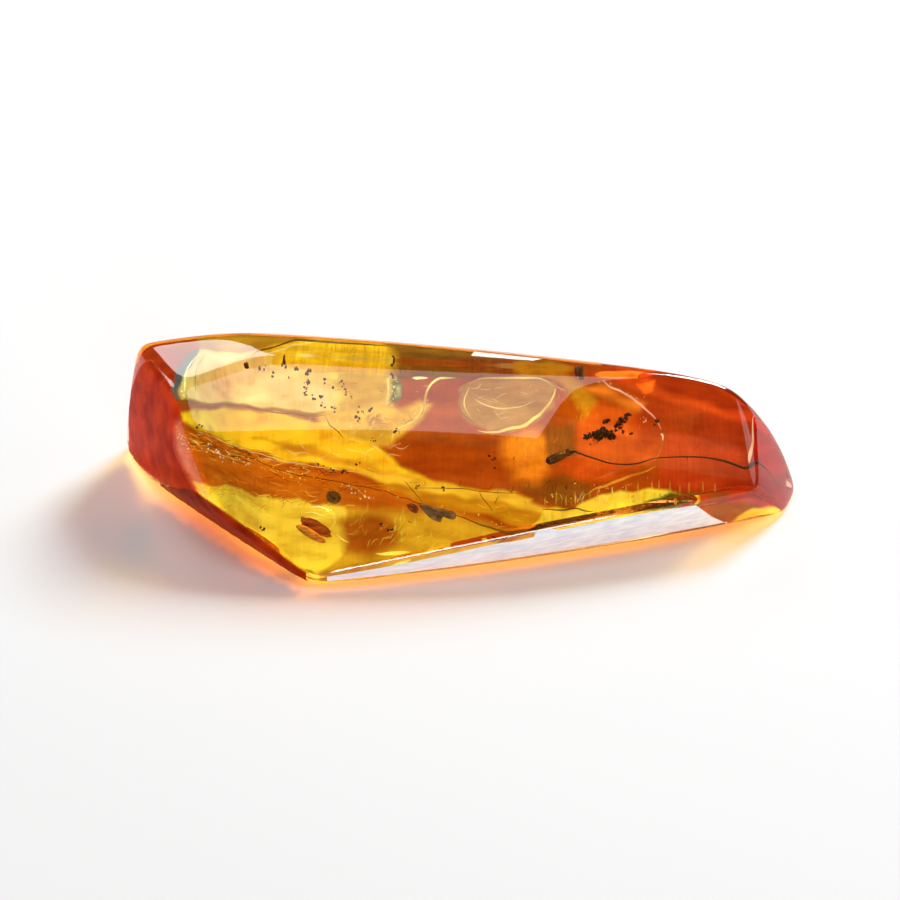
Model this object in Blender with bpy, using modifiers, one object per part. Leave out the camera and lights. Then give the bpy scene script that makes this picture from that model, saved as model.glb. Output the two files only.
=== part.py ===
"""Polished piece of amber with an insect, its long antenna and scraps of debris sealed inside.

The stone lies on its ground base. +X runs along it, -Y is its broad domed front, +Z is up, and the
origin is on the surface it rests on, below the middle of its outline. The clear stone is parted in
two along a sloping seam that passes through everything it encloses, and each enclosed piece lies in
its own pocket, which opens on the seam.
"""

from math import cos, pi, radians, sin

import bmesh
import bpy
import numpy as np
from mathutils import Matrix, Vector, noise

MM = 0.001

# The stone, in mm and degrees. Each facet faces an azimuth (0 is -Y, 90 is +X) and a tilt (90 is
# straight up), lies at a distance from the heart of the stone, and is domed by a bulge radius
# along its level direction and one along its slope. A radius of 0 is a flat facet.
HEART = (0.116, 0.826, 5.6)
FACETS = {
    "dome": (3.8, 51.7, 4.8, 107, 43),
    "front_cut": (13, -22, 9.9, 236, 0),
    "left_bevel": (-45, -31, 16.1, 400, 0),
    "left_end": (-49, 20, 18.3, 60, 30),
    "left_side": (-125, 4, 25.1, 0, 0),
    "back": (172, 8, 6.3, 375, 20),
    "top": (165, 80, 6.5, 587, 78),
    "top_left": (-83, 74, 10.3, 0, 0),
    "right_top": (50, 52, 15.0, 50, 50),
    "right_end": (55, 38, 18.1, 50, 50),
    "right_under": (69, -44, 21.9, 0, 0),
    "blank_foot": (0, -90, 7.1, 0, 0),
}
EDGE_SHARPNESS = 2.4  # per mm: the edges between facets are rounded to about 1 / this
LONGEST_REACH = 40.0  # no point of the stone is further from its heart
STONE_PROPORTIONS = (25.0, 9.0, 6.0)  # half length, half width and half height, to space the rows
STONE_SEGMENTS, STONE_RINGS = 52, 52

# The seam that parts the clear stone, and the room left around what it holds.
SEAM_AZIMUTH, SEAM_TILT, SEAM_DISTANCE = 9.0, 48.0, 0.9
SEAM_GAP = 0.3
POCKET_CLEARANCE = 0.3

# Routes on the seam: mm across it and mm up it, from the foot of the heart on it.
INSECT_ROUTE = (
    (5.9, -2.6), (6.3, -2.4), (6.9, -2.1), (7.5, -1.8), (8.0, -1.7), (8.8, -2.15), (10.1, -2.7),
    (11.2, -3.1), (13.0, -3.3), (14.4, -3.15), (16.0, -3.05), (17.7, -3.25), (18.9, -3.5),
    (20.1, -4.0), (20.9, -4.2), (21.6, -4.3), (22.2, -4.65), (22.7, -5.1),
)
SCRAP_ROUTE = ((9.1, -1.15), (9.7, -0.95), (10.4, -0.75), (11.1, -0.9), (11.8, -0.35), (12.4, 0.15))
FLAKE_ROUTE = ((-3.7, -4.9), (-3.1, -5.2), (-2.5, -5.7), (-2.0, -5.45), (-1.3, -5.8))
CAPSULE_ROUTE = ((-13.1, -5.5), (-12.05, -6.15), (-11.1, -6.75))

# Thickness along a route: (mm from its start, radius in mm).
INSECT_PROFILE = (
    (0.0, 0.22), (0.15, 0.40), (0.5, 0.52), (1.0, 0.52), (1.5, 0.42), (1.75, 0.33), (2.0, 0.34),
    (2.3, 0.30), (2.5, 0.20), (2.7, 0.14), (6.0, 0.12), (18.5, 0.09),
)
SCRAP_PROFILE = ((0.0, 0.25), (0.5, 0.42), (1.4, 0.52), (2.2, 0.48), (2.9, 0.36), (3.5, 0.46), (4.0, 0.3))
FLAKE_PROFILE = ((0.0, 0.2), (0.5, 0.42), (1.2, 0.50), (1.7, 0.34), (2.2, 0.46), (2.9, 0.25))
CAPSULE_PROFILE = ((0.0, 0.14), (0.3, 0.29), (1.2, 0.34), (2.1, 0.29), (2.5, 0.14))
FLAKE_FLATNESS = 0.45
BRISTLE_LENGTH = 0.28

# Crumbs: place across and up the seam, and radius, in mm.
CRUMBS = {
    "bark_crumb": (10.75, 0.38, 0.22),
    "dust_crumb": (14.65, -0.2, 0.24),
    "soil_crumb": (9.35, 3.3, 0.20),
    "wood_crumb": (-4.4, -4.85, 0.28),
    "leaf_crumb": (-9.95, -3.55, 0.42),
}
CRUMB_ROUGHNESS = 0.25  # part of the radius

HUSK_PLACE = (-11.55, -5.35)
HUSK_HALF_SIZES = (1.45, 0.42, 0.45)  # along, across and deep
HUSK_WALL = 0.14
HUSK_TURN = -31.0  # degrees from level, the way the capsule beside it points

COLOURS = {  # linear red, green, blue, and roughness
    "amber": (0.85, 0.38, 0.02, 0.05),
    "insect": (0.030, 0.022, 0.006, 0.45),
    "scrap": (0.018, 0.010, 0.006, 0.7),
    "flake": (0.055, 0.060, 0.075, 0.6),
    "capsule": (0.42, 0.20, 0.04, 0.4),
    "husk": (0.20, 0.055, 0.012, 0.45),
    "crumb": (0.022, 0.018, 0.008, 0.7),
}


def direction(azimuth, tilt):
    """Unit vector that faces this azimuth and tilt, in degrees."""
    turn, lift = radians(azimuth), radians(tilt)
    return np.array([sin(turn) * cos(lift), -cos(turn) * cos(lift), sin(lift)])


def facet_axes(azimuth, tilt):
    """A facet's outward normal, its level direction and its direction up the slope."""
    outward = direction(azimuth, tilt)
    level = np.cross((0.0, 0.0, 1.0), outward)
    size = np.linalg.norm(level)
    level = level / size if size > 1e-6 else np.array([1.0, 0.0, 0.0])
    return outward, level, np.cross(outward, level)


def height_past_facets(points):
    """Soft maximum of the mm by which each point lies past each domed facet."""
    heights = []
    for azimuth, tilt, distance, level_bulge, slope_bulge in FACETS.values():
        outward, level, slope = facet_axes(azimuth, tilt)
        offset = points - np.array(HEART)
        height = offset @ outward - distance
        if level_bulge:
            height = height + (offset @ level) ** 2 / (2 * level_bulge)
        if slope_bulge:
            height = height + (offset @ slope) ** 2 / (2 * slope_bulge)
        heights.append(height)
    heights = np.array(heights)
    highest = heights.max(axis=0)
    spread = np.exp(EDGE_SHARPNESS * (heights - highest)).sum(axis=0)
    return highest + np.log(spread) / EDGE_SHARPNESS


def reach_of_stone(directions):
    """How far the surface is from the heart along each unit direction, by halving the span."""
    near = np.zeros(len(directions))
    far = np.full(len(directions), LONGEST_REACH)
    for _ in range(40):
        middle = (near + far) / 2
        inside = height_past_facets(np.array(HEART) + directions * middle[:, None]) < 0
        near = np.where(inside, middle, near)
        far = np.where(inside, far, middle)
    return near


def cut_flat(bm, point, outward):
    """Removes what lies past a plane and closes the cut with one flat face."""
    geometry = bm.verts[:] + bm.edges[:] + bm.faces[:]
    bmesh.ops.bisect_plane(
        bm, geom=geometry, plane_co=point, plane_no=outward, dist=1e-7, clear_outer=True
    )
    rim = [edge for edge in bm.edges if edge.is_boundary]
    bmesh.ops.holes_fill(bm, edges=rim, sides=0)


def stone_surface():
    """The whole stone: a ball drawn out to the facets along its directions, with its base cut."""
    bm = bmesh.new()
    poles_on_x = Matrix.Rotation(pi / 2, 4, "Y")
    bmesh.ops.create_uvsphere(
        bm, u_segments=STONE_SEGMENTS, v_segments=STONE_RINGS, radius=1.0, matrix=poles_on_x
    )
    directions = np.array([vert.co[:] for vert in bm.verts]) * np.array(STONE_PROPORTIONS)
    directions /= np.linalg.norm(directions, axis=1)[:, None]
    places = np.array(HEART) + directions * reach_of_stone(directions)[:, None]
    for vert, place in zip(bm.verts, places * MM):
        vert.co = Vector(place)
    cut_flat(bm, (0, 0, 0), (0, 0, -1))
    return bm


def seam_point(across, up, out=0.0):
    """World place in metres of a point on the seam, or some mm out of it towards its front."""
    outward, level, slope = facet_axes(SEAM_AZIMUTH, SEAM_TILT)
    place = np.array(HEART) + outward * (SEAM_DISTANCE + out) + level * across + slope * up
    return Vector(place * MM)


def seam_frame(across, up, turn=0.0):
    """Matrix that lays local X along the seam, local Y up it and local Z out of it."""
    outward, level, slope = (Vector(axis) for axis in facet_axes(SEAM_AZIMUTH, SEAM_TILT))
    laid = Matrix((level, slope, outward)).transposed().to_4x4()
    return Matrix.Translation(seam_point(across, up)) @ laid @ Matrix.Rotation(radians(turn), 4, "Z")


def material(name, colour):
    red, green, blue, roughness = colour
    made = bpy.data.materials.new(name)
    made.use_nodes = True
    shader = made.node_tree.nodes["Principled BSDF"]
    shader.inputs["Base Color"].default_value = (red, green, blue, 1.0)
    shader.inputs["Roughness"].default_value = roughness
    if name == "amber":
        shader.inputs["Transmission Weight"].default_value = 1.0
        shader.inputs["IOR"].default_value = 1.54
    return made


def add_object(name, mesh, collection, finish=None):
    """Puts a mesh in a collection; one with no finish is a cutter, which isn't part of the model."""
    thing = bpy.data.objects.new(name, mesh)
    collection.objects.link(thing)
    if finish is None:
        thing.hide_render = True
        thing.display_type = "WIRE"
        return thing
    mesh.materials.clear()
    mesh.materials.append(finish)
    mesh.shade_smooth()
    mesh.set_sharp_from_angle(angle=radians(40))
    return thing


def mesh_from(bm, name):
    bmesh.ops.recalc_face_normals(bm, faces=bm.faces)
    mesh = bpy.data.meshes.new(name)
    bm.to_mesh(mesh)
    bm.free()
    return mesh


def smooth_route(route, step):
    """Catmull-Rom curve through the seam points, read every step mm, with distances along it."""
    knots = np.array(route, float)
    padded = np.vstack([2 * knots[0] - knots[1], knots, 2 * knots[-1] - knots[-2]])
    t = np.linspace(0, 1, 20, endpoint=False)[:, None]
    stretches = []
    for before, start, end, after in zip(padded, padded[1:], padded[2:], padded[3:]):
        stretches.append(
            0.5 * (2 * start + (end - before) * t + (2 * before - 5 * start + 4 * end - after) * t**2
                   + (3 * start - before - 3 * end + after) * t**3)
        )
    fine = np.vstack(stretches + [knots[-1:]])
    along = np.concatenate([[0], np.cumsum(np.linalg.norm(np.diff(fine, axis=0), axis=1))])
    count = max(3, round(along[-1] / step) + 1)
    marks = np.linspace(0, along[-1], count)
    return np.stack([np.interp(marks, along, fine[:, i]) for i in (0, 1)], axis=1), marks


def tapered_tube(name, route, profile, step, corners=2, grow=0.0):
    """Closed round tube along a seam route, as thick as its profile says plus grow, as a bmesh."""
    points, marks = smooth_route(route, step)
    stations, radii = np.array(profile).T
    curve = bpy.data.curves.new(name, "CURVE")
    curve.dimensions = "3D"
    curve.bevel_depth = MM
    curve.bevel_resolution = corners
    curve.use_fill_caps = True
    spline = curve.splines.new("POLY")
    spline.points.add(len(points) - 1)
    for knot, (across, up), mark in zip(spline.points, points, marks):
        knot.co = (*seam_point(across, up), 1.0)
        knot.radius = float(np.interp(mark, stations, radii)) + grow
    thing = bpy.data.objects.new(name, curve)
    bpy.context.scene.collection.objects.link(thing)
    view = bpy.context.evaluated_depsgraph_get()
    mesh = bpy.data.meshes.new_from_object(thing.evaluated_get(view))
    bpy.data.objects.remove(thing)
    bm = bmesh.new()
    bm.from_mesh(mesh)
    bpy.data.meshes.remove(mesh)
    bmesh.ops.remove_doubles(bm, verts=bm.verts, dist=1e-6)
    return bm


def flatten(bm, share):
    """Squeezes a piece towards the seam, to this share of its depth."""
    outward = Vector(facet_axes(SEAM_AZIMUTH, SEAM_TILT)[0])
    level = seam_point(0, 0)
    for vert in bm.verts:
        vert.co -= outward * ((vert.co - level).dot(outward) * (1 - share))


def roughen(bm, depth, grain):
    """Moves each point along its normal by smooth noise, depth and grain in mm."""
    bm.normal_update()
    level = seam_point(0, 0)
    moves = [
        vert.normal * (depth * MM * noise.noise((vert.co - level) / (grain * MM)))
        for vert in bm.verts
    ]
    for vert, move in zip(bm.verts, moves):
        vert.co += move


def insect():
    return tapered_tube("insect", INSECT_ROUTE, INSECT_PROFILE, step=0.3)


def insect_pocket():
    return tapered_tube("insect_pocket", INSECT_ROUTE, INSECT_PROFILE, 0.9, 1, POCKET_CLEARANCE)


def bristly_scrap():
    """A bent scrap whose every face is drawn out to a point, as short stiff bristles."""
    bm = tapered_tube("bristly_scrap", SCRAP_ROUTE, SCRAP_PROFILE, step=0.34, corners=3)
    sides = [face for face in bm.faces if len(face.verts) == 4]
    bmesh.ops.poke(bm, faces=sides, offset=BRISTLE_LENGTH * MM, center_mode="MEAN")
    return bm


def scrap_pocket():
    room = BRISTLE_LENGTH + POCKET_CLEARANCE
    return tapered_tube("scrap_pocket", SCRAP_ROUTE, SCRAP_PROFILE, 0.7, 1, room)


def wood_flake():
    """A thin flake in two lobes."""
    bm = tapered_tube("wood_flake", FLAKE_ROUTE, FLAKE_PROFILE, step=0.2, corners=3)
    flatten(bm, FLAKE_FLATNESS)
    roughen(bm, depth=0.07, grain=0.5)
    return bm


def flake_pocket():
    return tapered_tube("flake_pocket", FLAKE_ROUTE, FLAKE_PROFILE, 0.6, 1, POCKET_CLEARANCE)


def capsule():
    return tapered_tube("capsule", CAPSULE_ROUTE, CAPSULE_PROFILE, step=0.22, corners=3)


def capsule_pocket():
    return tapered_tube("capsule_pocket", CAPSULE_ROUTE, CAPSULE_PROFILE, 0.5, 1, POCKET_CLEARANCE)


def ball(place, half_sizes, fineness, turn=0.0):
    """An ellipsoid laid on the seam, as a bmesh."""
    bm = bmesh.new()
    shape = seam_frame(*place, turn) @ Matrix.Diagonal((*[size * MM for size in half_sizes], 1.0))
    bmesh.ops.create_icosphere(bm, subdivisions=fineness, radius=1.0, matrix=shape)
    return bm


def crumb(name):
    across, up, radius = CRUMBS[name]
    bm = ball((across, up), (radius * 1.15, radius, radius * 0.9), 2)
    roughen(bm, depth=2 * CRUMB_ROUGHNESS * radius, grain=radius)
    return bm


def crumb_pocket(name):
    across, up, radius = CRUMBS[name]
    room = radius * (1.15 + CRUMB_ROUGHNESS) + POCKET_CLEARANCE
    return ball((across, up), (room, room, room), 1)


def capsule_husk():
    """The deep half of a thin oval shell, open towards the front."""
    bm = ball(HUSK_PLACE, HUSK_HALF_SIZES, 2, HUSK_TURN)
    outward = seam_frame(0, 0).to_3x3() @ Vector((0, 0, 1))
    geometry = bm.verts[:] + bm.edges[:] + bm.faces[:]
    lip = seam_point(*HUSK_PLACE, 0.12)
    bmesh.ops.bisect_plane(bm, geom=geometry, plane_co=lip, plane_no=outward, clear_outer=True)
    return bm


def husk_pocket():
    sizes = tuple(size + POCKET_CLEARANCE + 0.1 for size in HUSK_HALF_SIZES)
    return ball(HUSK_PLACE, sizes, 2, HUSK_TURN)


def amber_half(name, facing, parts, pockets, finish):
    """One side of the parted stone: facing 1 is in front of the seam and -1 behind it."""
    bm = stone_surface()
    outward = Vector(facet_axes(SEAM_AZIMUTH, SEAM_TILT)[0])
    cut_flat(bm, seam_point(0, 0, facing * SEAM_GAP / 2), outward * -facing)
    half = add_object(name, mesh_from(bm, name), parts, finish)
    hollow = half.modifiers.new("pockets", "BOOLEAN")
    hollow.operation = "DIFFERENCE"
    hollow.operand_type = "COLLECTION"
    hollow.collection = pockets
    hollow.solver = "EXACT"
    return half


def build():
    for thing in list(bpy.data.objects):
        bpy.data.objects.remove(thing)
    parts = bpy.data.collections.new("insect_in_amber")
    pockets = bpy.data.collections.new("pocket_cutters")
    for collection in (parts, pockets):
        bpy.context.scene.collection.children.link(collection)
    finishes = {name: material(name, colour) for name, colour in COLOURS.items()}

    pieces = {
        "insect": (insect, insect_pocket, "insect"),
        "bristly_scrap": (bristly_scrap, scrap_pocket, "scrap"),
        "wood_flake": (wood_flake, flake_pocket, "flake"),
        "capsule": (capsule, capsule_pocket, "capsule"),
        "capsule_husk": (capsule_husk, husk_pocket, "husk"),
    }
    for name, (shape, pocket, finish) in pieces.items():
        piece = add_object(name, mesh_from(shape(), name), parts, finishes[finish])
        add_object(name + "_pocket", mesh_from(pocket(), name + "_pocket"), pockets)
        if name == "capsule_husk":
            wall = piece.modifiers.new("wall", "SOLIDIFY")
            wall.thickness = HUSK_WALL * MM
            wall.offset = -1
    for name in CRUMBS:
        add_object(name, mesh_from(crumb(name), name), parts, finishes["crumb"])
        add_object(name + "_pocket", mesh_from(crumb_pocket(name), name + "_pocket"), pockets)

    amber_half("amber_upper", 1, parts, pockets, finishes["amber"])
    amber_half("amber_lower", -1, parts, pockets, finishes["amber"])
    pockets.hide_render = True


build()
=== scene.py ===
"""Looks of a polished piece of amber with an insect and debris sealed inside it.

Lengths are millimetres and places are frame units, unless a name or comment says otherwise;
meshes are in metres.
"""
from math import cos, pi, radians, sin

import bpy
import numpy as np
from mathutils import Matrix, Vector


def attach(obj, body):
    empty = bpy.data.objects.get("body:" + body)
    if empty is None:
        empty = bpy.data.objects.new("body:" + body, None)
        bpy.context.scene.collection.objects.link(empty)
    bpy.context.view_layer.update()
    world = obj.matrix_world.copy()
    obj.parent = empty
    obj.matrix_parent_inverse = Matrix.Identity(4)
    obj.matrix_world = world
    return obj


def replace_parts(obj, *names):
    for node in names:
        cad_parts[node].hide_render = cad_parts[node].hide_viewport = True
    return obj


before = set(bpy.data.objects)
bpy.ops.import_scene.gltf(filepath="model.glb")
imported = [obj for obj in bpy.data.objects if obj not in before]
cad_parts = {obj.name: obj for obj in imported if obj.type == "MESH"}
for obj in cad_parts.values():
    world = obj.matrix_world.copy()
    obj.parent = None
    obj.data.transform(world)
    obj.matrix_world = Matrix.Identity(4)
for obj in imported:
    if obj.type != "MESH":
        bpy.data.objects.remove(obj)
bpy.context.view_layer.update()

MM = 0.001

# ---------------------------------------------------------------------------------------------
# The stone's form
# ---------------------------------------------------------------------------------------------

HEART = np.array([0.116, 0.826, 5.6])
# name: (azimuth, where 0 is -Y and 90 is +X, tilt, where 90 is up, distance from the heart,
# bulge radius along the level direction and up the slope, where 0 is flat)
FACETS = {
    "dome": (3.8, 51.7, 4.8, 107, 43),
    "base": (0, -90, 5.6, 0, 0),
    "front_cut": (13, -22, 9.9, 236, 0),
    "left_bevel": (-45, -31, 16.1, 400, 0),
    "left_end": (-49, 20, 18.3, 60, 30),
    "left_side": (-125, 4, 25.1, 0, 0),
    "back": (172, 8, 6.3, 375, 20),
    "top": (165, 80, 6.5, 587, 78),
    "top_left": (-83, 74, 10.3, 0, 0),
    "right_top": (50, 52, 15.0, 50, 50),
    "right_end": (55, 38, 18.1, 50, 50),
    "right_under": (69, -44, 21.9, 0, 0),
}
EDGE_SHARPNESS = 3.2  # per mm: edges are rounded to about 1 / this
LONGEST_REACH = 40.0  # no point of the stone is further from its heart
PROPORTIONS = np.array([25.0, 9.0, 6.0])  # half length, width and height, to space the grid
# The plane through all that the stone holds
SEAM_AZIMUTH, SEAM_TILT, SEAM_DISTANCE = 9.0, 48.0, 0.9
INCLUSION_COVER = 0.3  # the least amber over and behind it, along the line of sight
AMBER_IOR = 1.54

# ---------------------------------------------------------------------------------------------
# The camera's frame: 900 by 900, x to the right and y down. What shows inside the stone is laid
# out in it, and each spot is carried along its bent line of sight to its place in the stone.
# ---------------------------------------------------------------------------------------------

CAMERA_ELEVATION = 35.0
CAMERA_DISTANCE = 300.0
CAMERA_TARGET = np.array([-0.684, 0.826, 5.0])
FRAME_SIZE = 900
FRAME_PER_MM = 13.2  # frame units per mm at the target
SENSOR_WIDTH = 36.0

# How finely a line is halved to find where it meets the surface, and stepped before that
REACH_HALVINGS, ENTRY_HALVINGS = 36, 26
ENTRY_SPAN, ENTRY_STEPS = 32, 81  # the steps lie this far before and behind the target
# A spot that misses the stone moves this share of its way to the middle, up to so many times
NUDGE, MOST_NUDGES = 0.005, 20
JUST_WITHIN = 0.02  # a line that starts on the surface is followed from this far inside


def direction(azimuth, tilt):
    """Unit vector that faces this azimuth and tilt, in degrees."""
    turn, lift = radians(azimuth), radians(tilt)
    return np.array([sin(turn) * cos(lift), -cos(turn) * cos(lift), sin(lift)])


def facet_axes(azimuth, tilt):
    """A facet's outward normal, its level direction and its direction up the slope."""
    outward = direction(azimuth, tilt)
    level = np.cross((0.0, 0.0, 1.0), outward)
    size = np.linalg.norm(level)
    level = level / size if size > 1e-6 else np.array([1.0, 0.0, 0.0])
    return outward, level, np.cross(outward, level)


def stone_field(points):
    """Height past the facets, its gradient and each facet's share.

    A facet's height is the offset along its normal, less its distance, plus the square of the
    offset along each of its two directions over twice that direction's bulge radius. The field is
    the soft maximum of the heights: log of the sum of exp(sharpness * height), over sharpness.
    """
    offset = points - HEART
    heights, slopes = [], []
    for azimuth, tilt, distance, level_bulge, slope_bulge in FACETS.values():
        outward, level, slope = facet_axes(azimuth, tilt)
        height = offset @ outward - distance
        gradient = np.broadcast_to(outward, offset.shape)
        for axis, bulge in ((level, level_bulge), (slope, slope_bulge)):
            if bulge:
                along = offset @ axis
                height = height + along**2 / (2 * bulge)
                gradient = gradient + (along / bulge)[..., None] * axis
        heights.append(height)
        slopes.append(gradient)
    heights, slopes = np.array(heights), np.array(slopes)
    highest = heights.max(axis=0)
    shares = np.exp(EDGE_SHARPNESS * (heights - highest))
    total = shares.sum(axis=0)
    shares /= total
    gradient = (shares[..., None] * slopes).sum(axis=0)
    return highest + np.log(total) / EDGE_SHARPNESS, gradient, shares


def inside(points):
    return stone_field(points)[0] < 0


def reach_along(start, headings):
    """Distance from the start, or each start, to the surface along each unit heading.

    It is found by halving the span between a point within and one outside.
    """
    near = np.zeros(len(headings))
    far = np.full(len(headings), LONGEST_REACH)
    for _ in range(REACH_HALVINGS):
        middle = (near + far) / 2
        within = inside(start + headings * middle[:, None])
        near = np.where(within, middle, near)
        far = np.where(within, far, middle)
    return near


def unit(vectors):
    return vectors / np.linalg.norm(vectors, axis=-1, keepdims=True)


def camera_axes():
    """The camera's directions to the right, up and back, away from what it looks at."""
    lift = radians(CAMERA_ELEVATION)
    right = np.array([1.0, 0.0, 0.0])
    up = np.array([0.0, sin(lift), cos(lift)])
    back = np.array([0.0, -cos(lift), sin(lift)])
    return right, up, back


def enter_stone(spots):
    """Where the lines of sight through frame spots enter the stone, and where they head inside it.

    An entry is found by stepping and halving along its line, and the heading follows Snell's law.
    The last array says which lines meet the stone at all.
    """
    spots = np.asarray(spots, float)
    right, up, back = camera_axes()
    eye = CAMERA_TARGET + back * CAMERA_DISTANCE
    shift = (spots - FRAME_SIZE / 2) / FRAME_PER_MM
    heading = unit(-back * CAMERA_DISTANCE + shift[:, :1] * right - shift[:, 1:] * up)
    steps = CAMERA_DISTANCE + np.linspace(-ENTRY_SPAN, ENTRY_SPAN, ENTRY_STEPS)
    within = inside(eye + heading[:, None] * steps[None, :, None])
    first = within.argmax(axis=1)
    far, near = steps[first], steps[np.maximum(first - 1, 0)]
    for _ in range(ENTRY_HALVINGS):
        middle = (near + far) / 2
        hit = inside(eye + heading * middle[:, None])
        far = np.where(hit, middle, far)
        near = np.where(hit, near, middle)
    entry = eye + heading * far[:, None]
    outward = unit(stone_field(entry)[1])
    facing = -(heading * outward).sum(axis=1, keepdims=True)
    ratio = 1 / AMBER_IOR
    depth = np.sqrt(1 - ratio**2 * (1 - facing**2))
    return entry, ratio * heading + (ratio * facing - depth) * outward, within.any(axis=1)


def kept_on_stone(spots):
    """Frame spots, those that miss the stone moved to the middle of the frame till they meet it."""
    spots = np.array(spots, float)
    for _ in range(MOST_NUDGES):
        missed = ~enter_stone(spots)[2]
        if not missed.any():
            break
        spots[missed] += (FRAME_SIZE / 2 - spots[missed]) * NUDGE
    return spots


def seam_axes():
    """A point of the seam plane, its outward normal, its level direction and the one upslope."""
    outward, level, slope = facet_axes(SEAM_AZIMUTH, SEAM_TILT)
    return HEART + outward * SEAM_DISTANCE, outward, level, slope


def seen_at_plane(spots, out):
    """Points that show at frame spots, on the plane this far out of the seam, kept in the stone."""
    start, outward, _, _ = seam_axes()
    entry, heading, _ = enter_stone(spots)
    reach = reach_along(entry + heading * JUST_WITHIN, heading)
    depth = (out - (entry - start) @ outward) / (heading @ outward)
    deepest = np.maximum(reach - INCLUSION_COVER, INCLUSION_COVER)
    return entry + heading * np.clip(depth, INCLUSION_COVER, deepest)[:, None]


def smooth(value, low, high):
    """0 below low, 1 above high, and an S-shaped rise between."""
    t = np.clip((value - low) / (high - low), 0, 1)
    return t * t * (3 - 2 * t)


def line_distance(spots, line):
    """Distance of each spot from the nearest point of a line of straight pieces."""
    line = np.asarray(line, float)
    start, span = line[:-1], np.diff(line, axis=0)
    offset = spots[:, None] - start
    share = np.clip((offset * span).sum(-1) / (span**2).sum(-1), 0, 1)
    return np.linalg.norm(offset - share[..., None] * span, axis=-1).min(axis=1)


def coverage(spots, outline, softness):
    """1 well within a closed outline and 0 well outside; its edge is this soft, in frame units."""
    line = np.asarray(tuple(outline) + (outline[0],), float)
    low, high = line.min(axis=0) - softness, line.max(axis=0) + softness
    near = ((spots > low) & (spots < high)).all(axis=1)
    share = np.zeros(len(spots))
    spots = spots[near]
    x, y = spots[:, :1], spots[:, 1:]
    (x0, y0), (x1, y1) = line[:-1].T, line[1:].T
    crosses = (y0 > y) != (y1 > y)
    with np.errstate(divide="ignore", invalid="ignore"):
        meets = x0 + (y - y0) * (x1 - x0) / (y1 - y0)
    within = (crosses & (x < meets)).sum(axis=1) % 2 == 1
    away = line_distance(spots, line)
    share[near] = smooth(np.where(within, away, -away), -softness, softness)
    return share


# ---------------------------------------------------------------------------------------------
# Meshes. A shape is its points, its four-sided faces and its three-sided faces.
# ---------------------------------------------------------------------------------------------


def new_piece(name, shape, finish):
    """A piece with its points, in mm, in its mesh; it rides on the stone."""
    points, quads, tris = shape
    mesh = bpy.data.meshes.new(name)
    mesh.from_pydata((points * MM).tolist(), [], quads.tolist() + tris.tolist())
    mesh.update()
    mesh.shade_smooth()
    mesh.materials.append(finish)
    thing = bpy.data.objects.new(name, mesh)
    bpy.context.scene.collection.objects.link(thing)
    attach(thing, "root")
    return thing


def set_values(thing, name, values):
    """One number or one colour on each point, which a material reads by name."""
    kind = "FLOAT" if values.ndim == 1 else "FLOAT_COLOR"
    store = thing.data.attributes.new(name, kind, "POINT")
    if kind == "FLOAT":
        store.data.foreach_set("value", values.astype(np.float32))
    else:
        whole = np.concatenate([values, np.ones((len(values), 1))], axis=1)
        store.data.foreach_set("color", whole.astype(np.float32).ravel())


def enclosed(shape):
    """Volume within the faces: the sum of corner . (next x last) over their triangles, over 6."""
    points, quads, tris = shape
    corners = np.concatenate([quads[:, :3], quads[:, [0, 2, 3]], tris])
    a, b, c = points[corners[:, 0]], points[corners[:, 1]], points[corners[:, 2]]
    return np.einsum("ij,ij->", a, np.cross(b, c)) / 6


def facing_out(shape):
    """The shape, with its faces turned round if they enclose a negative volume."""
    points, quads, tris = shape
    if enclosed((points - points.mean(axis=0), quads, tris)) > 0:
        return shape
    return points, quads[:, ::-1], tris[:, ::-1]


def rings_shape(start, rings, end):
    """Rows of points, each row a closed ring, closed by a fan to one point at each end."""
    rows, columns = rings.shape[:2]
    here = np.arange(columns)
    after = (here + 1) % columns
    first = 1 + np.arange(rows - 1)[:, None] * columns
    quads = np.stack(
        [first + here, first + after, first + columns + after, first + columns + here], axis=-1)
    tail = 1 + (rows - 1) * columns
    tris = np.concatenate([
        np.stack([0 * here, 1 + after, 1 + here], axis=-1),
        np.stack([0 * here + 1 + rows * columns, tail + here, tail + after], axis=-1),
    ])
    points = np.concatenate([start[None], rings.reshape(-1, 3), end[None]])
    return facing_out((points, quads.reshape(-1, 4), tris))


def slab_shape(front, back):
    """Two sheets of rows by columns points, one behind the other, joined at their rim."""
    rows, columns = front.shape[:2]
    count = rows * columns
    grid = np.arange(count).reshape(rows, columns)
    sheet = np.stack([grid[:-1, :-1], grid[:-1, 1:], grid[1:, 1:], grid[1:, :-1]], axis=-1)
    sheet = sheet.reshape(-1, 4)
    rim = np.concatenate([grid[0, :-1], grid[:-1, -1], grid[-1, :0:-1], grid[:0:-1, 0]])
    after = np.roll(rim, -1)
    sides = np.stack([after, rim, rim + count, after + count], axis=-1)
    quads = np.concatenate([sheet, sheet[:, ::-1] + count, sides])
    points = np.concatenate([front.reshape(-1, 3), back.reshape(-1, 3)])
    return facing_out((points, quads, np.zeros((0, 3), int)))


def joined(shapes):
    """One shape from several."""
    starts = np.cumsum([0] + [len(points) for points, _, _ in shapes[:-1]])
    return (
        np.concatenate([points for points, _, _ in shapes]),
        np.concatenate([quads + start for (_, quads, _), start in zip(shapes, starts)]),
        np.concatenate([tris + start for (_, _, tris), start in zip(shapes, starts)]),
    )


def copies(shape, centres, frames):
    """The shape at each centre, its x, y and z drawn along the three axes of each frame."""
    points, quads, tris = shape
    placed = np.einsum("pj,kjc->kpc", points, frames) + centres[:, None]
    shift = (np.arange(len(centres)) * len(points))[:, None, None]
    return placed.reshape(-1, 3), (quads + shift).reshape(-1, 4), (tris + shift).reshape(-1, 3)


CURVE_STEPS = 24  # between two knots


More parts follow.
